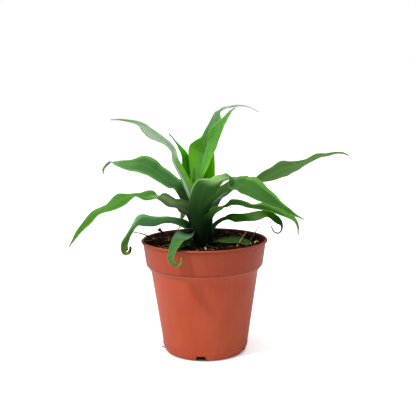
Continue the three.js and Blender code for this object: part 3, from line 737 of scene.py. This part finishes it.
def blade_mesh(name, heading, stations, phase):
    """A closed blade, thickest in the middle, with its UV map and three attributes: upper is 1 on
    the upper face, margin is the distance to the nearer edge, and breadth the half width there."""
    rows = blade_rows(heading, stations)
    length = rows[-1][6]
    columns = BLADE_COLUMNS
    mesh = bmesh.new()
    chart = mesh.loops.layers.uv.new("blade")
    upper = mesh.verts.layers.float.new("upper")
    margin = mesh.verts.layers.float.new("margin")
    breadth = mesh.verts.layers.float.new("breadth")
    top = []
    under = []
    where = {}
    for face_side, grid in ((1, top), (-1, under)):
        for row in rows:
            half = row[3]
            along = row[6]
            line = []
            for j in range(columns + 1):
                u = 2 * j / columns - 1
                vertex = mesh.verts.new(blade_point(row, u, face_side, phase))
                vertex[upper] = 1.0 if face_side > 0 else 0.0
                vertex[margin] = (1 - abs(u)) * half
                vertex[breadth] = half
                where[vertex] = (j / columns, along / length)
                line.append(vertex)
            grid.append(line)
    for i in range(len(rows) - 1):
        for j in range(columns):
            mesh.faces.new([top[i][j], top[i + 1][j], top[i + 1][j + 1], top[i][j + 1]])
            mesh.faces.new([under[i][j], under[i][j + 1], under[i + 1][j + 1], under[i + 1][j]])
        for j in (0, columns):
            mesh.faces.new([top[i][j], under[i][j], under[i + 1][j], top[i + 1][j]])
    for i in (0, -1):
        for j in range(columns):
            mesh.faces.new([top[i][j], top[i][j + 1], under[i][j + 1], under[i][j]])
    faced_out(mesh)
    for face in mesh.faces:
        for loop in face.loops:
            loop[chart].uv = where[loop.vert]
    data = kept(name, mesh)
    data.set_sharp_from_angle(angle=math.radians(BLADE_SHARP))
    return data


def strip_group():
    """A soft strip along a blade, as a mask. Places across and along are shares of the blade."""
    group, given = shader_group(
        "soft_strip", [], ["Across", "Along", "Centre", "Half width", "Start", "End", "Strength"],
        ["Mask"])
    offset = maths(group, "ABSOLUTE", maths(group, "SUBTRACT", given["Across"], given["Centre"]))
    inner = times(group, given["Half width"], 0.5)
    outer = times(group, given["Half width"], 1.5)
    strip = eased(group, offset, inner, outer, given["Strength"], 0.0)
    begins = eased(group, given["Along"], plus(group, given["Start"], -0.05),
                   plus(group, given["Start"], 0.05))
    ends = eased(group, given["Along"], plus(group, given["End"], -0.06),
                 plus(group, given["End"], 0.06), 1.0, 0.0)
    node(group, "NodeGroupOutput", {"Mask": times(group, strip, times(group, begins, ends))})
    return group


def blade_group():
    """What all blades show: pale streaks, deeper grooves, a darker root, a pale line along the
    margin, and an end that yellows and then dries, frayed along the veins."""
    group, given = shader_group(
        "blade_marks", [],
        ["Fine", "Broad", "Along", "To edge", "Breadth", "Streak share", "Root to", "Dry from", "Rough"],
        ["Streaks", "Grooves", "Root", "Margin", "Yellowed", "Dried", "Roughness", "Relief"])
    fine = given["Fine"]
    along = given["Along"]
    root_to = given["Root to"]
    dry_from = given["Dry from"]
    wide = eased(group, given["Breadth"], 2.0, 6.0)
    grown = eased(group, along, times(group, root_to, 0.5), times(group, root_to, 1.3))
    line = eased(group, given["To edge"], 0.15, 0.7, 0.5, 0.0)
    fray = times(group, plus(group, fine, -0.5), 0.06)
    frayed = plus(group, along, times(group, fray, wide))
    dried = eased(group, frayed, plus(group, dry_from, -0.015), plus(group, dry_from, 0.015))
    satin = plus(group, times(group, given["Broad"], 0.18), plus(group, given["Rough"], -0.09))
    node(group, "NodeGroupOutput", {
        "Streaks": times(group, eased(group, given["Broad"], 0.42, 0.72), given["Streak share"]),
        "Grooves": times(group, eased(group, fine, 0.3, 0.6, 0.34, 0.0), wide),
        "Root": eased(group, along, 0.0, root_to, 0.95, 0.0),
        "Margin": times(group, line, grown),
        "Yellowed": eased(group, frayed, plus(group, dry_from, -0.10), dry_from, 0.0, 0.5),
        "Dried": dried,
        "Roughness": plus(group, satin, times(group, dried, 0.35)),
        "Relief": times(group, fine, wide)})
    return group


STRIP = strip_group()
BLADE_MARKS = blade_group()


def leaf_finish(name, upper, under, root, edge, seed, root_to=0.3, dry_from=1.02, dry=DRY_BROWN,
                wilt=WILTED, streak=0.22, rough=0.5, shine=0.04, thin=0.35, depth=1.5, bands=()):
    """A pineapple leaf: veined, darker at its root, with a pale margin line and a dry tip.
    A band is a soft lengthwise strip: centre and half width across, start and end along, colour
    and strength. Some bands are the leaf's own colour, others are painted highlights or painted
    light coming through the leaf. Light that falls on the other face comes through a thin leaf."""
    material, tree, shader = finish(name, {
        "Specular IOR Level": shine, "Subsurface Weight": thin,
        "Subsurface Radius": (0.6, 1.0, 0.3), "Subsurface Scale": depth * MM})
    chart = node(tree, "ShaderNodeUVMap", uv_map="blade").outputs[0]
    across, along, _ = node(tree, "ShaderNodeSeparateXYZ", {0: chart}).outputs
    on_upper = node(tree, "ShaderNodeAttribute", attribute_name="upper").outputs["Fac"]
    to_edge = node(tree, "ShaderNodeAttribute", attribute_name="margin").outputs["Fac"]
    breadth = node(tree, "ShaderNodeAttribute", attribute_name="breadth").outputs["Fac"]
    colour = mixed(tree, on_upper, under, upper)
    for centre, half, start, end, tint, strength in bands:
        strip = placed(tree, STRIP, {
            "Across": across, "Along": along, "Centre": centre, "Half width": half,
            "Start": start, "End": end, "Strength": strength})
        colour = mixed(tree, strip["Mask"], colour, tint)
    veins = placed(tree, VEINS, {"Across": across, "Along": along, "Veins": BLADE_VEINS, "Seed": seed})
    marks = placed(tree, BLADE_MARKS, {
        "Fine": veins["Fine"], "Broad": veins["Broad"], "Along": along, "To edge": to_edge,
        "Breadth": breadth, "Streak share": streak, "Root to": root_to, "Dry from": dry_from,
        "Rough": rough})
    for mark, tint in (("Streaks", edge), ("Grooves", root), ("Root", root), ("Margin", edge),
                       ("Yellowed", wilt), ("Dried", dry)):
        colour = mixed(tree, marks[mark], colour, tint)
    tree.links.new(colour, shader.inputs["Base Color"])
    tree.links.new(marks["Roughness"], shader.inputs["Roughness"])
    bump(tree, shader, marks["Relief"], 0.35, 0.0003)
    return material


def grow(leaf, slot, heading, stations, phase, **look):
    """Builds one leaf in place of its CAD node. heading is the way that it leaves the stem, in
    degrees, and phase shifts the wave of its edges."""
    blade = made_object(leaf + "_blade", blade_mesh(leaf + "_blade", heading, stations, phase))
    blade.data.materials.append(leaf_finish(leaf + "_green", **look))
    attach(blade, "root")
    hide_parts(leaf)


grow("leaf_heart_small", "leaf_young", 240, [
    (-4.5, -1.5, 37, 5, 0), (-6.5, -2, 50, 5.5, -5), (-6.5, -3, 60, 4, -4), (-7, -3.5, 66, 2.5, -9),
    (-7, -4, 71, 0.5, -15)
], phase=0.0, upper=srgb(78, 138, 44), under=srgb(112, 176, 72), root=srgb(40, 92, 20),
    edge=srgb(112, 170, 72), root_to=0.1, seed=1.0,
    bands=[(0.2, 0.3, 0.5, 1.1, srgb(46, 100, 18), 0.7)])

grow("leaf_heart_left", "leaf_young", 150, [
    (-6, 1, 32, 7.75, -24), (-9, 4, 48, 8.5, -4), (-13, 6, 61.5, 9, -8), (-15, 8, 70, 8, -1),
    (-17, 9, 78.5, 6, 6), (-20.5, 10, 84.5, 4, 8), (-24, 10, 89.5, 2.5, 17),
    (-27, 10, 93.5, 1.3, 20), (-29.5, 10, 96, 0.5, 0)
], phase=0.8, upper=srgb(62, 160, 8), under=srgb(60, 150, 10), root=srgb(36, 104, 6),
    edge=srgb(110, 184, 50), root_to=0.1, dry_from=0.9, dry=srgb(52, 84, 70),
    wilt=srgb(50, 116, 40), seed=2.0)

grow("leaf_heart_right", "leaf_young", 60, [
    (1, 4, 35.5, 6.75, -10), (0, 5, 48, 8, -33), (-1.5, 6, 59.5, 9, -44), (3, 7, 72, 9.25, -38),
    (6, 9, 81, 9.5, -32), (8.5, 10, 89.5, 9.75, -31), (11, 12, 97.5, 9.25, -20),
    (13.5, 13, 102.5, 7.5, -15), (17.5, 14, 107, 5, -19), (21, 15, 111, 3, -26),
    (24, 15, 115, 1.2, -14), (27.5, 15, 118, 0.5, -20)
], phase=2.1, upper=srgb(98, 162, 66), under=srgb(92, 156, 60), root=srgb(52, 116, 30),
    edge=srgb(120, 176, 76), root_to=0.1, dry_from=0.99, dry=srgb(84, 116, 84), seed=3.0,
    bands=[(0.1, 0.3, 0.1, 0.48, srgb(126, 196, 30), 0.7),
           (0.97, 0.08, 0.3, 0.85, srgb(140, 192, 110), 0.45),
           (0.5, 0.9, 0.62, 1.1, srgb(66, 122, 42), 0.55)])

# This leaf's colours are painted far brighter than its own, as painted light coming through it from behind.
grow("leaf_heart_back", "leaf_young", 35, [
    (5.5, 5, 32, 7.5, 20), (5.5, 9, 47, 8, 10), (5, 11, 59.5, 8, 8), (5, 12, 69, 7, 8),
    (5.5, 14, 78.5, 5.75, 10), (7.5, 15, 88, 4.25, 9), (9, 16, 96, 2.75, 5),
    (10.5, 17, 103.5, 0.5, 0)
], phase=0.3, upper=srgb(150, 222, 40), under=srgb(140, 216, 36), root=srgb(90, 170, 20),
    edge=srgb(190, 236, 90), root_to=0.05, seed=4.0, thin=1.0, depth=5)

# On this leaf the yellow-green band low on one side is painted light coming through it, and the pale line
# along its middle is a painted highlight.
grow("leaf_tall", "leaf_young", 100, [
    (-3.5, 5, 32.5, 8, 31), (-3.5, 8, 47.5, 9.5, 30), (-3.5, 11, 60, 10.75, 30),
    (-3.5, 14, 69, 12, 28), (-2.5, 17, 77, 14, 26), (-0.5, 19, 82, 13, 26),
    (3, 20.5, 88.5, 9.25, 27), (6, 21, 95, 8, 28), (9, 22, 101.5, 6.5, 29),
    (11.5, 23, 109, 5.25, 30), (12.5, 24, 113, 3.5, 30), (14.5, 24, 115.5, 1.8, 32),
    (18.5, 23, 118, 1.7, 5), (24.5, 21, 119, 1.6, -16), (31.5, 18, 120, 1.2, -40),
    (38.5, 15, 119, 1, -40), (43, 12, 117, 0.8, -40), (47.5, 10, 114.5, 0.5, -40)
], phase=1.4, upper=srgb(106, 180, 72), under=srgb(94, 160, 66), root=srgb(64, 136, 42),
    edge=srgb(136, 190, 104), root_to=0.1, dry_from=0.72, dry=srgb(196, 214, 190),
    wilt=srgb(150, 196, 146), seed=5.0, thin=0.12,
    bands=[(0.5, 0.9, 0.46, 0.8, srgb(164, 214, 164), 0.8), (0.85, 0.3, 0.1, 0.5, srgb(130, 208, 46), 0.9),
           (0.45, 0.1, 0.2, 0.7, srgb(130, 186, 116), 0.5)])


# Four leaves reach out to the left. Their undersides are paler and greyer than their upper faces,
# with a silvery bloom of fine scales. The top one shows its underside all the way up its arch.

GROWN_ROOT = srgb(16, 44, 24)
GROWN_EDGE = srgb(128, 182, 84)
SILVER = srgb(206, 234, 216)

grow("leaf_left_arch", "leaf_grown", 205, [
    (-6, -4.5, 31, 8, 26), (-10.5, -9, 45.5, 8.5, 14), (-13, -11, 52.5, 9, 12),
    (-16.5, -12, 60.5, 9, 4), (-20, -13, 67, 9.25, 0), (-23.5, -14, 74, 9, 0),
    (-24.5, -15, 80.5, 9.25, -7), (-26, -16, 84.5, 8.75, -3), (-29.5, -17, 88.5, 9, 1),
    (-35.5, -18, 92.5, 9, 11), (-41, -19, 96, 8.5, 19), (-46, -20, 100, 7.5, 15),
    (-50, -21, 104, 6, 11), (-55, -22, 107, 4.5, 12), (-61, -23, 108.5, 2.5, 18),
    (-68, -24, 109.5, 1.4, 16), (-75, -24, 109.5, 0.5, 10)
], phase=0.5, upper=srgb(92, 152, 60), under=srgb(120, 168, 96), root=srgb(48, 96, 34),
    edge=srgb(118, 160, 96), root_to=0.08, dry_from=0.95, dry=srgb(150, 164, 150), seed=6.0, thin=0.0,
    bands=[(0.95, 0.26, 0.08, 0.4, srgb(106, 184, 26), 0.9), (0.36, 0.13, 0.0, 0.48, SILVER, 0.95),
           (0.5, 0.8, 0.46, 0.82, srgb(190, 214, 188), 0.85),
           (0.82, 0.12, 0.5, 1.0, srgb(126, 168, 108), 0.35),
           (0.1, 0.1, 0.55, 0.8, srgb(132, 174, 112), 0.35)])

grow("leaf_left_wide", "leaf_grown", 163, [
    (-8, 1, 27, 8.75, -46), (-17.5, 5, 43, 9, -14), (-22, 9, 50.5, 9.25, -19),
    (-28, 12, 53.5, 9.75, -24), (-35, 15, 58, 10, -26), (-42.5, 18, 63, 10.5, -26),
    (-48, 20, 66.5, 11, -37), (-55.5, 23, 69, 10.75, -37), (-63.5, 26, 68.5, 8.75, -35),
    (-71.5, 29, 68.5, 6.75, -29), (-78, 30, 69.5, 4, -23), (-83, 31, 71, 3, 12),
    (-87, 32, 68.5, 2, 20), (-90.5, 32, 64, 1.6, 10), (-90.5, 31, 59.5, 0.5, 10)
], phase=1.2, upper=srgb(60, 108, 50), under=srgb(96, 136, 84), root=GROWN_ROOT,
    edge=GROWN_EDGE, dry_from=0.97, dry=srgb(176, 192, 170), wilt=srgb(150, 182, 140),
    seed=7.0, streak=0.12,
    bands=[(0.5, 0.8, 0.66, 1.1, srgb(104, 148, 92), 0.35),
           (0.5, 0.8, 0.8, 1.1, srgb(130, 172, 122), 0.5),
           (0.02, 0.12, 0.2, 0.8, srgb(100, 160, 76), 0.6),
           (0.98, 0.12, 0.2, 0.8, srgb(96, 156, 70), 0.6)])

grow("leaf_left_long", "leaf_grown", 201, [
    (-7, -4, 12, 8.5, 41), (-9.5, -7, 26.5, 8.75, 31), (-14, -9, 33, 8.75, 35),
    (-20, -12, 37.5, 8.75, 29), (-26.5, -15, 39, 8.5, 32), (-31.5, -18, 43, 8, 31),
    (-36, -21, 46.5, 8.25, 23), (-39, -22, 47, 8, -12), (-43, -23, 47, 8.5, -20),
    (-50.5, -25, 46, 8, -15), (-57, -28, 48, 8.5, -1), (-63, -31, 46.5, 8.5, -17),
    (-67.5, -33, 44.5, 8.5, -27), (-75.5, -36, 39.5, 7.75, -16), (-82, -38, 37, 6.75, -13),
    (-87.5, -40, 34.5, 6, -12), (-94.5, -42, 27.5, 5, -21), (-101, -43, 20, 3.5, -18),
    (-105.5, -44, 13.5, 1.8, -14), (-109, -44, 8.5, 0.5, -10)
], phase=2.6, upper=srgb(68, 120, 40), under=srgb(96, 128, 78), root=GROWN_ROOT,
    edge=GROWN_EDGE, dry_from=1.06, seed=8.0, shine=0.0,
    bands=[(0.3, 0.16, 0.1, 0.24, srgb(150, 176, 150), 0.6),
           (0.65, 0.2, 0.22, 0.42, srgb(150, 178, 134), 0.5),
           (0.1, 0.2, 0.42, 0.78, srgb(92, 144, 76), 0.45)])

grow("leaf_left_hook", "leaf_grown", 197, [
    (-10.5, -7, 8.5, 4.5, 25), (-12, -7, 13.5, 8, 0), (-15, -7, 17.5, 8.75, -20),
    (-21.5, -9, 21.5, 8.5, -20), (-28.5, -10, 23.5, 8.5, -12), (-36.5, -11, 24, 8.5, -11),
    (-44.5, -13, 23.5, 8.5, -26), (-52.5, -15, 24.5, 8, -29), (-57.5, -16, 22, 7, -5),
    (-62, -17, 15, 6.25, -5), (-64.5, -18, 10, 5.5, -11), (-67, -19, 5, 5, -21),
    (-67, -20, 1, 4.75, -28), (-66.5, -21, -1.5, 3.5, -33), (-64, -22, -1.5, 3, -45),
    (-62.5, -23, 0.5, 2.25, -49), (-62, -24, 3.5, 1.6, 2), (-60, -25, 2.5, 0.5, -10)
], phase=0.2, upper=srgb(112, 174, 106), under=srgb(92, 126, 64), root=srgb(16, 44, 26),
    edge=srgb(124, 168, 104), root_to=0.2, dry_from=0.93, dry=srgb(54, 48, 36),
    wilt=srgb(120, 134, 50), seed=9.0,
    bands=[(0.5, 0.9, 0.64, 1.0, srgb(80, 118, 20), 0.88)])


# The big front leaf rises dark out of the heart, folds over at its top and comes down to the right
# with its upper face in view. A shorter leaf curls down over the pot's lip in front.

# The pale patch over this leaf's fold and the pale rim below it are painted highlights.
grow("leaf_front_fold", "leaf_grown", -68, [
    (-2.2, -7.2, 1.5, 7, -4), (-4, -8.5, 15.5, 7.25, -10), (-5, -12, 29.5, 7.25, -8),
    (-3, -17, 40.5, 10, -2), (0.5, -21, 49, 11.5, -11), (4, -25, 55, 11.25, -16),
    (7.5, -28, 57.5, 10.5, -5), (12, -31, 60, 10, 8), (15.5, -33, 62, 9.5, 1),
    (19.5, -36, 63.5, 9.25, -8), (24.5, -40, 63, 9.25, -24), (28.5, -43, 59, 9.75, 22),
    (33.5, -47, 58, 10.25, 22), (38.5, -50, 55.5, 10.25, 13), (44, -53, 52, 9.75, 5),
    (51, -55, 48, 8, -3), (56.5, -57, 44, 6, -7), (63.5, -59, 40, 3.75, -7),
    (70.5, -60, 35.5, 2, -6), (78, -62, 32, 0.5, -15)
], phase=2.2, upper=srgb(57, 106, 41), under=srgb(64, 110, 52), root=srgb(10, 30, 20),
    edge=srgb(118, 170, 78), root_to=0.4, seed=10.0, streak=0.08,
    bands=[(0.1, 0.6, 0.42, 0.55, srgb(188, 242, 150), 0.85),
           (0.0, 0.04, 0.28, 0.48, srgb(170, 214, 140), 0.9),
           (1.0, 0.1, 0.24, 0.42, srgb(96, 178, 28), 0.8), (0.1, 0.12, 0.1, 0.22, srgb(64, 96, 72), 0.4),
           (0.95, 0.14, 0.56, 0.98, srgb(104, 168, 68), 0.75)])

# The bluish band at this leaf's bend is a painted highlight.
grow("leaf_front_curl", "leaf_grown", 245, [
    (-12.5, -9.5, 10, 5, 15), (-14.5, -14, 12.5, 7.25, -5), (-17, -24, 13, 7.5, -14),
    (-20, -38, 11.5, 7.25, 11), (-22, -51, 10, 7, 27), (-24.5, -59, 6.5, 6, 36),
    (-26, -62, 3.5, 5, 35), (-26, -61.5, 0.5, 4, 27), (-24, -62, -2, 3, 21),
    (-22, -62, -3.5, 2, -4), (-19, -63, -2.5, 1, -54), (-18, -63, -1, 0.8, -71),
    (-18, -62, 2.5, 0.5, -75)
], phase=1.0, upper=srgb(68, 116, 54), under=srgb(104, 146, 76), root=srgb(20, 52, 34),
    edge=srgb(112, 160, 72), dry_from=1.0, dry=srgb(120, 130, 70), seed=11.0,
    bands=[(0.5, 0.5, 0.08, 0.3, srgb(112, 148, 126), 0.7)])


# Three leaves reach out to the right. The long top one shows its grey-green underside, and the
# lower two hang over at their ends, the lowest with a thin dry tip that curls up again.

# The pale blue-white strip at this leaf's base is partly its silvery bloom and partly a painted highlight.
grow("leaf_right_long", "leaf_grown", -35, [
    (3, -6, 24.5, 8, -26), (6, -11, 38.5, 8.5, -10), (13.5, -14, 46, 9, -14),
    (20.5, -17, 52, 8.75, -18), (28.5, -20, 56, 9, -24), (37, -24, 58.5, 9, -28),
    (45, -27, 59, 9, -16), (52, -29, 62, 9.25, -23), (59, -31, 65.5, 9, -31), (66, -33, 69, 9, -44),
    (72, -35, 70.5, 8, -31), (78, -37, 73, 6.75, -20), (85, -39, 76, 5, -19),
    (91.5, -41, 79.5, 4, -23), (98, -42, 80.5, 3, -23), (105.5, -42, 82, 1.9, -28),
    (111.5, -42, 81.5, 1.5, -34), (116, -42, 79.5, 0.5, -20)
], phase=0.9, upper=srgb(78, 132, 58), under=srgb(88, 130, 66), root=srgb(14, 56, 22),
    edge=srgb(140, 190, 88), dry_from=1.03, root_to=0.2, seed=12.0,
    bands=[(0.62, 0.11, 0.0, 0.2, srgb(206, 240, 230), 0.95),
           (0.5, 0.9, 0.56, 0.95, srgb(104, 144, 80), 0.6),
           (0.05, 0.2, 0.05, 0.26, srgb(60, 124, 22), 0.7)])

grow("leaf_right_mid", "leaf_grown", -25, [
    (1.5, -5, 19, 8.25, -42), (7, -8, 28, 8, -6), (11.5, -11, 33, 8.25, -16), (16.5, -14, 37, 8, 3),
    (20.5, -16, 38.5, 8, 18), (26, -18, 39.5, 7.75, 8), (33, -20, 38.5, 8, 3), (38, -22, 37, 8, 3),
    (47.5, -25, 37, 7.75, 11), (57, -28, 35, 7.5, 12), (64.5, -30, 32.5, 6.75, 9),
    (70.5, -32, 29.5, 4.75, 9), (75, -33, 25.5, 3, 6), (77, -33, 20.5, 1.9, 6),
    (77, -33, 17, 1.1, 0), (77.5, -32, 14.5, 0.5, -10)
], phase=1.9, upper=srgb(88, 152, 62), under=srgb(96, 146, 68), root=srgb(14, 48, 14),
    edge=srgb(118, 178, 60), root_to=0.25, seed=13.0, shine=0.0,
    bands=[(0.9, 0.2, 0.3, 0.56, srgb(112, 156, 92), 0.5), (0.5, 0.9, 0.62, 1.1, srgb(60, 118, 30), 0.3)])

# The pale patch halfway along this leaf is a painted highlight.
grow("leaf_right_hook", "leaf_grown", 20, [
    (4.5, 0.5, 3.5, 6.5, -50), (6, 2, 10, 8, -45), (10, 5, 17, 7.5, -30), (15, 7, 20.5, 7.75, -26),
    (19, 9, 21.5, 7.75, -18), (24, 11, 21.5, 7.75, 15), (33, 13, 21.5, 7.75, 19),
    (43.5, 16, 22, 8.25, 16), (52.5, 19, 23.5, 7.5, 14), (58.5, 21, 22.5, 7.25, 28),
    (64, 22, 19, 6, 38), (68, 23, 15.5, 4, 43), (69.5, 23, 12, 2.25, 49), (69, 22, 8.5, 1.4, 57),
    (66.5, 22, 6, 1.3, 48), (62.5, 21, 7.5, 1, 24), (59.5, 20, 13, 0.5, 10)
], phase=2.9, upper=srgb(21, 55, 4), under=srgb(60, 100, 42), root=srgb(38, 80, 36),
    edge=srgb(52, 92, 24), dry_from=0.88, dry=srgb(150, 166, 146), wilt=srgb(120, 146, 100), seed=14.0,
    root_to=0.16, shine=0.0, bands=[(0.5, 0.9, 0.47, 0.6, srgb(92, 128, 66), 0.5)])


# Five leaves fan out behind the plant and close the rosette. One droops behind the left leaves
# with its yellower end in view.

grow("leaf_back_mid", "leaf_grown", 85, [
    (1, 6, 22, 8, 0), (2, 14, 33, 9, 0), (3, 26, 42, 9, 0), (4, 40, 47, 8, 0), (4, 54, 47, 6.5, 0),
    (4, 68, 42, 4, 0), (4, 78, 34, 0.5, 0)
], phase=0.4, upper=srgb(76, 132, 52), under=srgb(100, 138, 84),
    root=GROWN_ROOT, edge=GROWN_EDGE, dry_from=0.96, seed=15.0)

grow("leaf_back_left", "leaf_grown", 140, [
    (-4, 4, 24, 7.5, 0), (-13, 12, 38, 8, 10), (-22, 21, 49, 8, 8), (-32, 30, 57, 7.5, 0),
    (-44, 38, 63, 6, -10), (-54, 44, 66, 3.5, -15), (-61, 48, 67, 0.5, -15)
], phase=1.6, upper=srgb(80, 138, 56), under=srgb(102, 142, 86),
    root=GROWN_ROOT, edge=GROWN_EDGE, dry_from=0.95, seed=16.0)

grow("leaf_back_right", "leaf_grown", 50, [
    (3, 5, 20, 7.5, 0), (9, 13, 34, 8, -12), (16, 22, 43, 8, -8), (25, 31, 47, 7.5, 5),
    (35, 40, 48, 6.5, 15), (46, 48, 46, 4, 25), (55, 54, 43, 0.5, 25)
], phase=2.4, upper=srgb(74, 130, 50), under=srgb(98, 136, 82),
    root=GROWN_ROOT, edge=GROWN_EDGE, dry_from=0.95, seed=17.0)

grow("leaf_back_droop", "leaf_grown", 125, [
    (-6.5, 4, 21, 7.25, -26), (-13.5, 12, 30, 6.75, -13), (-18.5, 20, 31.5, 6.5, -31),
    (-19.5, 26, 27, 5.25, -96), (-20.5, 31, 20, 3.75, -80), (-21.5, 33, 13, 1.4, -81),
    (-24, 34, 8.5, 0.5, -75)
], phase=0.7, upper=srgb(92, 142, 44), under=srgb(112, 156, 62), root=srgb(40, 82, 26),
    edge=srgb(150, 190, 80), seed=18.0)

grow("leaf_back_low", "leaf_grown", 92, [
    (0, 6, 9, 7, 0), (0, 14, 17, 8, 0), (0, 26, 22, 7, 0), (0, 38, 23, 6, 0), (0, 50, 19, 4, 0),
    (0, 60, 12, 0.5, 0)
], phase=1.1, upper=srgb(64, 112, 46), under=srgb(88, 124, 74),
    root=GROWN_ROOT, edge=GROWN_EDGE, dry_from=0.95, seed=19.0)


# The two oldest leaves lie on the peat beside the stem, dull, dusty and partly buried.

grow("leaf_soil_right", "leaf_grown", -15, [
    (5, -2, 2, 4, 10), (10, -3.5, 2.8, 4.5, 8), (17, -4.5, 4.2, 6.2, 10), (27, -6.5, 5, 7.3, 10),
    (34, -9, 4.4, 5.5, 15), (39.5, -13, 2.5, 1.5, 40)
], phase=0.6, upper=srgb(52, 84, 32), under=srgb(44, 70, 32),
    root=srgb(14, 26, 12), edge=srgb(92, 120, 60), dry_from=0.99, dry=srgb(70, 64, 40), seed=20.0, rough=0.6)

grow("leaf_soil_left", "leaf_grown", 205, [
    (-5, -5, 1.5, 4, -15), (-13, -9, 1.8, 5.5, -10), (-22, -13, 2, 6.5, -5),
    (-30, -17, 2, 5.5, -10), (-35, -21, 2, 2, -20)
], phase=1.3, upper=srgb(66, 120, 46), under=srgb(56, 90, 40), root=srgb(12, 22, 10),
    edge=srgb(80, 130, 50), dry_from=0.99, dry=srgb(90, 80, 54), seed=21.0, rough=0.6)


# The studio is a white sheet under soft light: a small strong lamp high on the left in front, a
# broad one overhead, a weak one behind and a white surround. The camera stands 0.6 m away, a
# little above the plant.

CAMERA_PLACE = (0.0034, -0.600, 0.2127)
CAMERA_PITCH = 8.3
CAMERA_ROLL = -0.57
FRAME_PIXELS = 416
FOCAL_PIXELS = 703
SENSOR_WIDTH = 36.0
NEAR_CLIP = 0.01
SHEET_HALF = 6.0
SKY_LIGHT = 0.33
# How much whiter the sheet looks round the pot's foot and far from it, and between which radii
NEAR_GLOW = 0.52
NEAR_GLOW_FROM = (0.031, 0.038)
FAR_GLOW = 0.5
FAR_GLOW_FROM = (0.15, 1.2)

sheet = bmesh.new()
bmesh.ops.create_grid(sheet, x_segments=1, y_segments=1, size=SHEET_HALF)
floor = made_object("white_sheet", kept("white_sheet", sheet))
paper, paper_tree, paper_shader = finish("white_paper", {
    "Base Color": (0.92, 0.92, 0.92, 1.0), "Roughness": 0.9, "Emission Color": (1.0, 1.0, 1.0, 1.0)})
paper_seen = node(paper_tree, "ShaderNodeLightPath").outputs["Is Camera Ray"]
paper_place = node(paper_tree, "ShaderNodeTexCoord").outputs["Object"]
away = node(paper_tree, "ShaderNodeVectorMath", {0: paper_place}, operation="LENGTH").outputs["Value"]
near_glow = eased(paper_tree, away, *NEAR_GLOW_FROM, 0.0, NEAR_GLOW)
far_glow = eased(paper_tree, away, *FAR_GLOW_FROM, 0.0, FAR_GLOW)
glow = times(paper_tree, paper_seen, plus(paper_tree, near_glow, far_glow))
paper_tree.links.new(glow, paper_shader.inputs["Emission Strength"])
floor.data.materials.append(paper)


def lamp(name, place, target, size, power, tint=(1.0, 1.0, 1.0)):
    """A round lamp, its size in metres and its power in watts, turned towards a target."""
    light = bpy.data.lights.new(name, "AREA")
    light.shape = "DISK"
    light.size = size
    light.energy = power
    light.color = tint
    stand = made_object(name, light)
    stand.location = place
    stand.rotation_euler = (Vector(target) - Vector(place)).to_track_quat("-Z", "Y").to_euler()


lamp("key_lamp", (-0.8, -0.72, 1.5), (0, 0, 0.12), size=0.15, power=21, tint=(1.0, 0.99, 0.97))
lamp("top_lamp", (0.05, -0.1, 1.5), (0, 0, 0.12), size=1.0, power=11)
lamp("back_lamp", (0.3, 1.1, 1.3), (0, 0, 0.14), size=0.9, power=2.5)

surround = bpy.data.worlds.new("white_surround")
surround.use_nodes = True
sky = surround.node_tree
sky.nodes.clear()
seen_directly = node(sky, "ShaderNodeLightPath").outputs["Is Camera Ray"]
sky_strength = plus(sky, times(sky, seen_directly, 1.0 - SKY_LIGHT), SKY_LIGHT)
background = node(sky, "ShaderNodeBackground", {"Color": (1.0, 1.0, 1.0, 1.0), "Strength": sky_strength})
node(sky, "ShaderNodeOutputWorld", {"Surface": background.outputs[0]})
bpy.context.scene.world = surround
bpy.context.scene.view_settings.view_transform = "Standard"

lens = bpy.data.cameras.new("camera")
lens.sensor_width = SENSOR_WIDTH
lens.lens = FOCAL_PIXELS / FRAME_PIXELS * SENSOR_WIDTH
lens.clip_start = NEAR_CLIP
camera = made_object("camera", lens)
pitch = Matrix.Rotation(math.radians(90 - CAMERA_PITCH), 4, "X")
roll = Matrix.Rotation(math.radians(CAMERA_ROLL), 4, "Z")
camera.matrix_world = Matrix.Translation(CAMERA_PLACE) @ pitch @ roll
bpy.context.scene.camera = camera
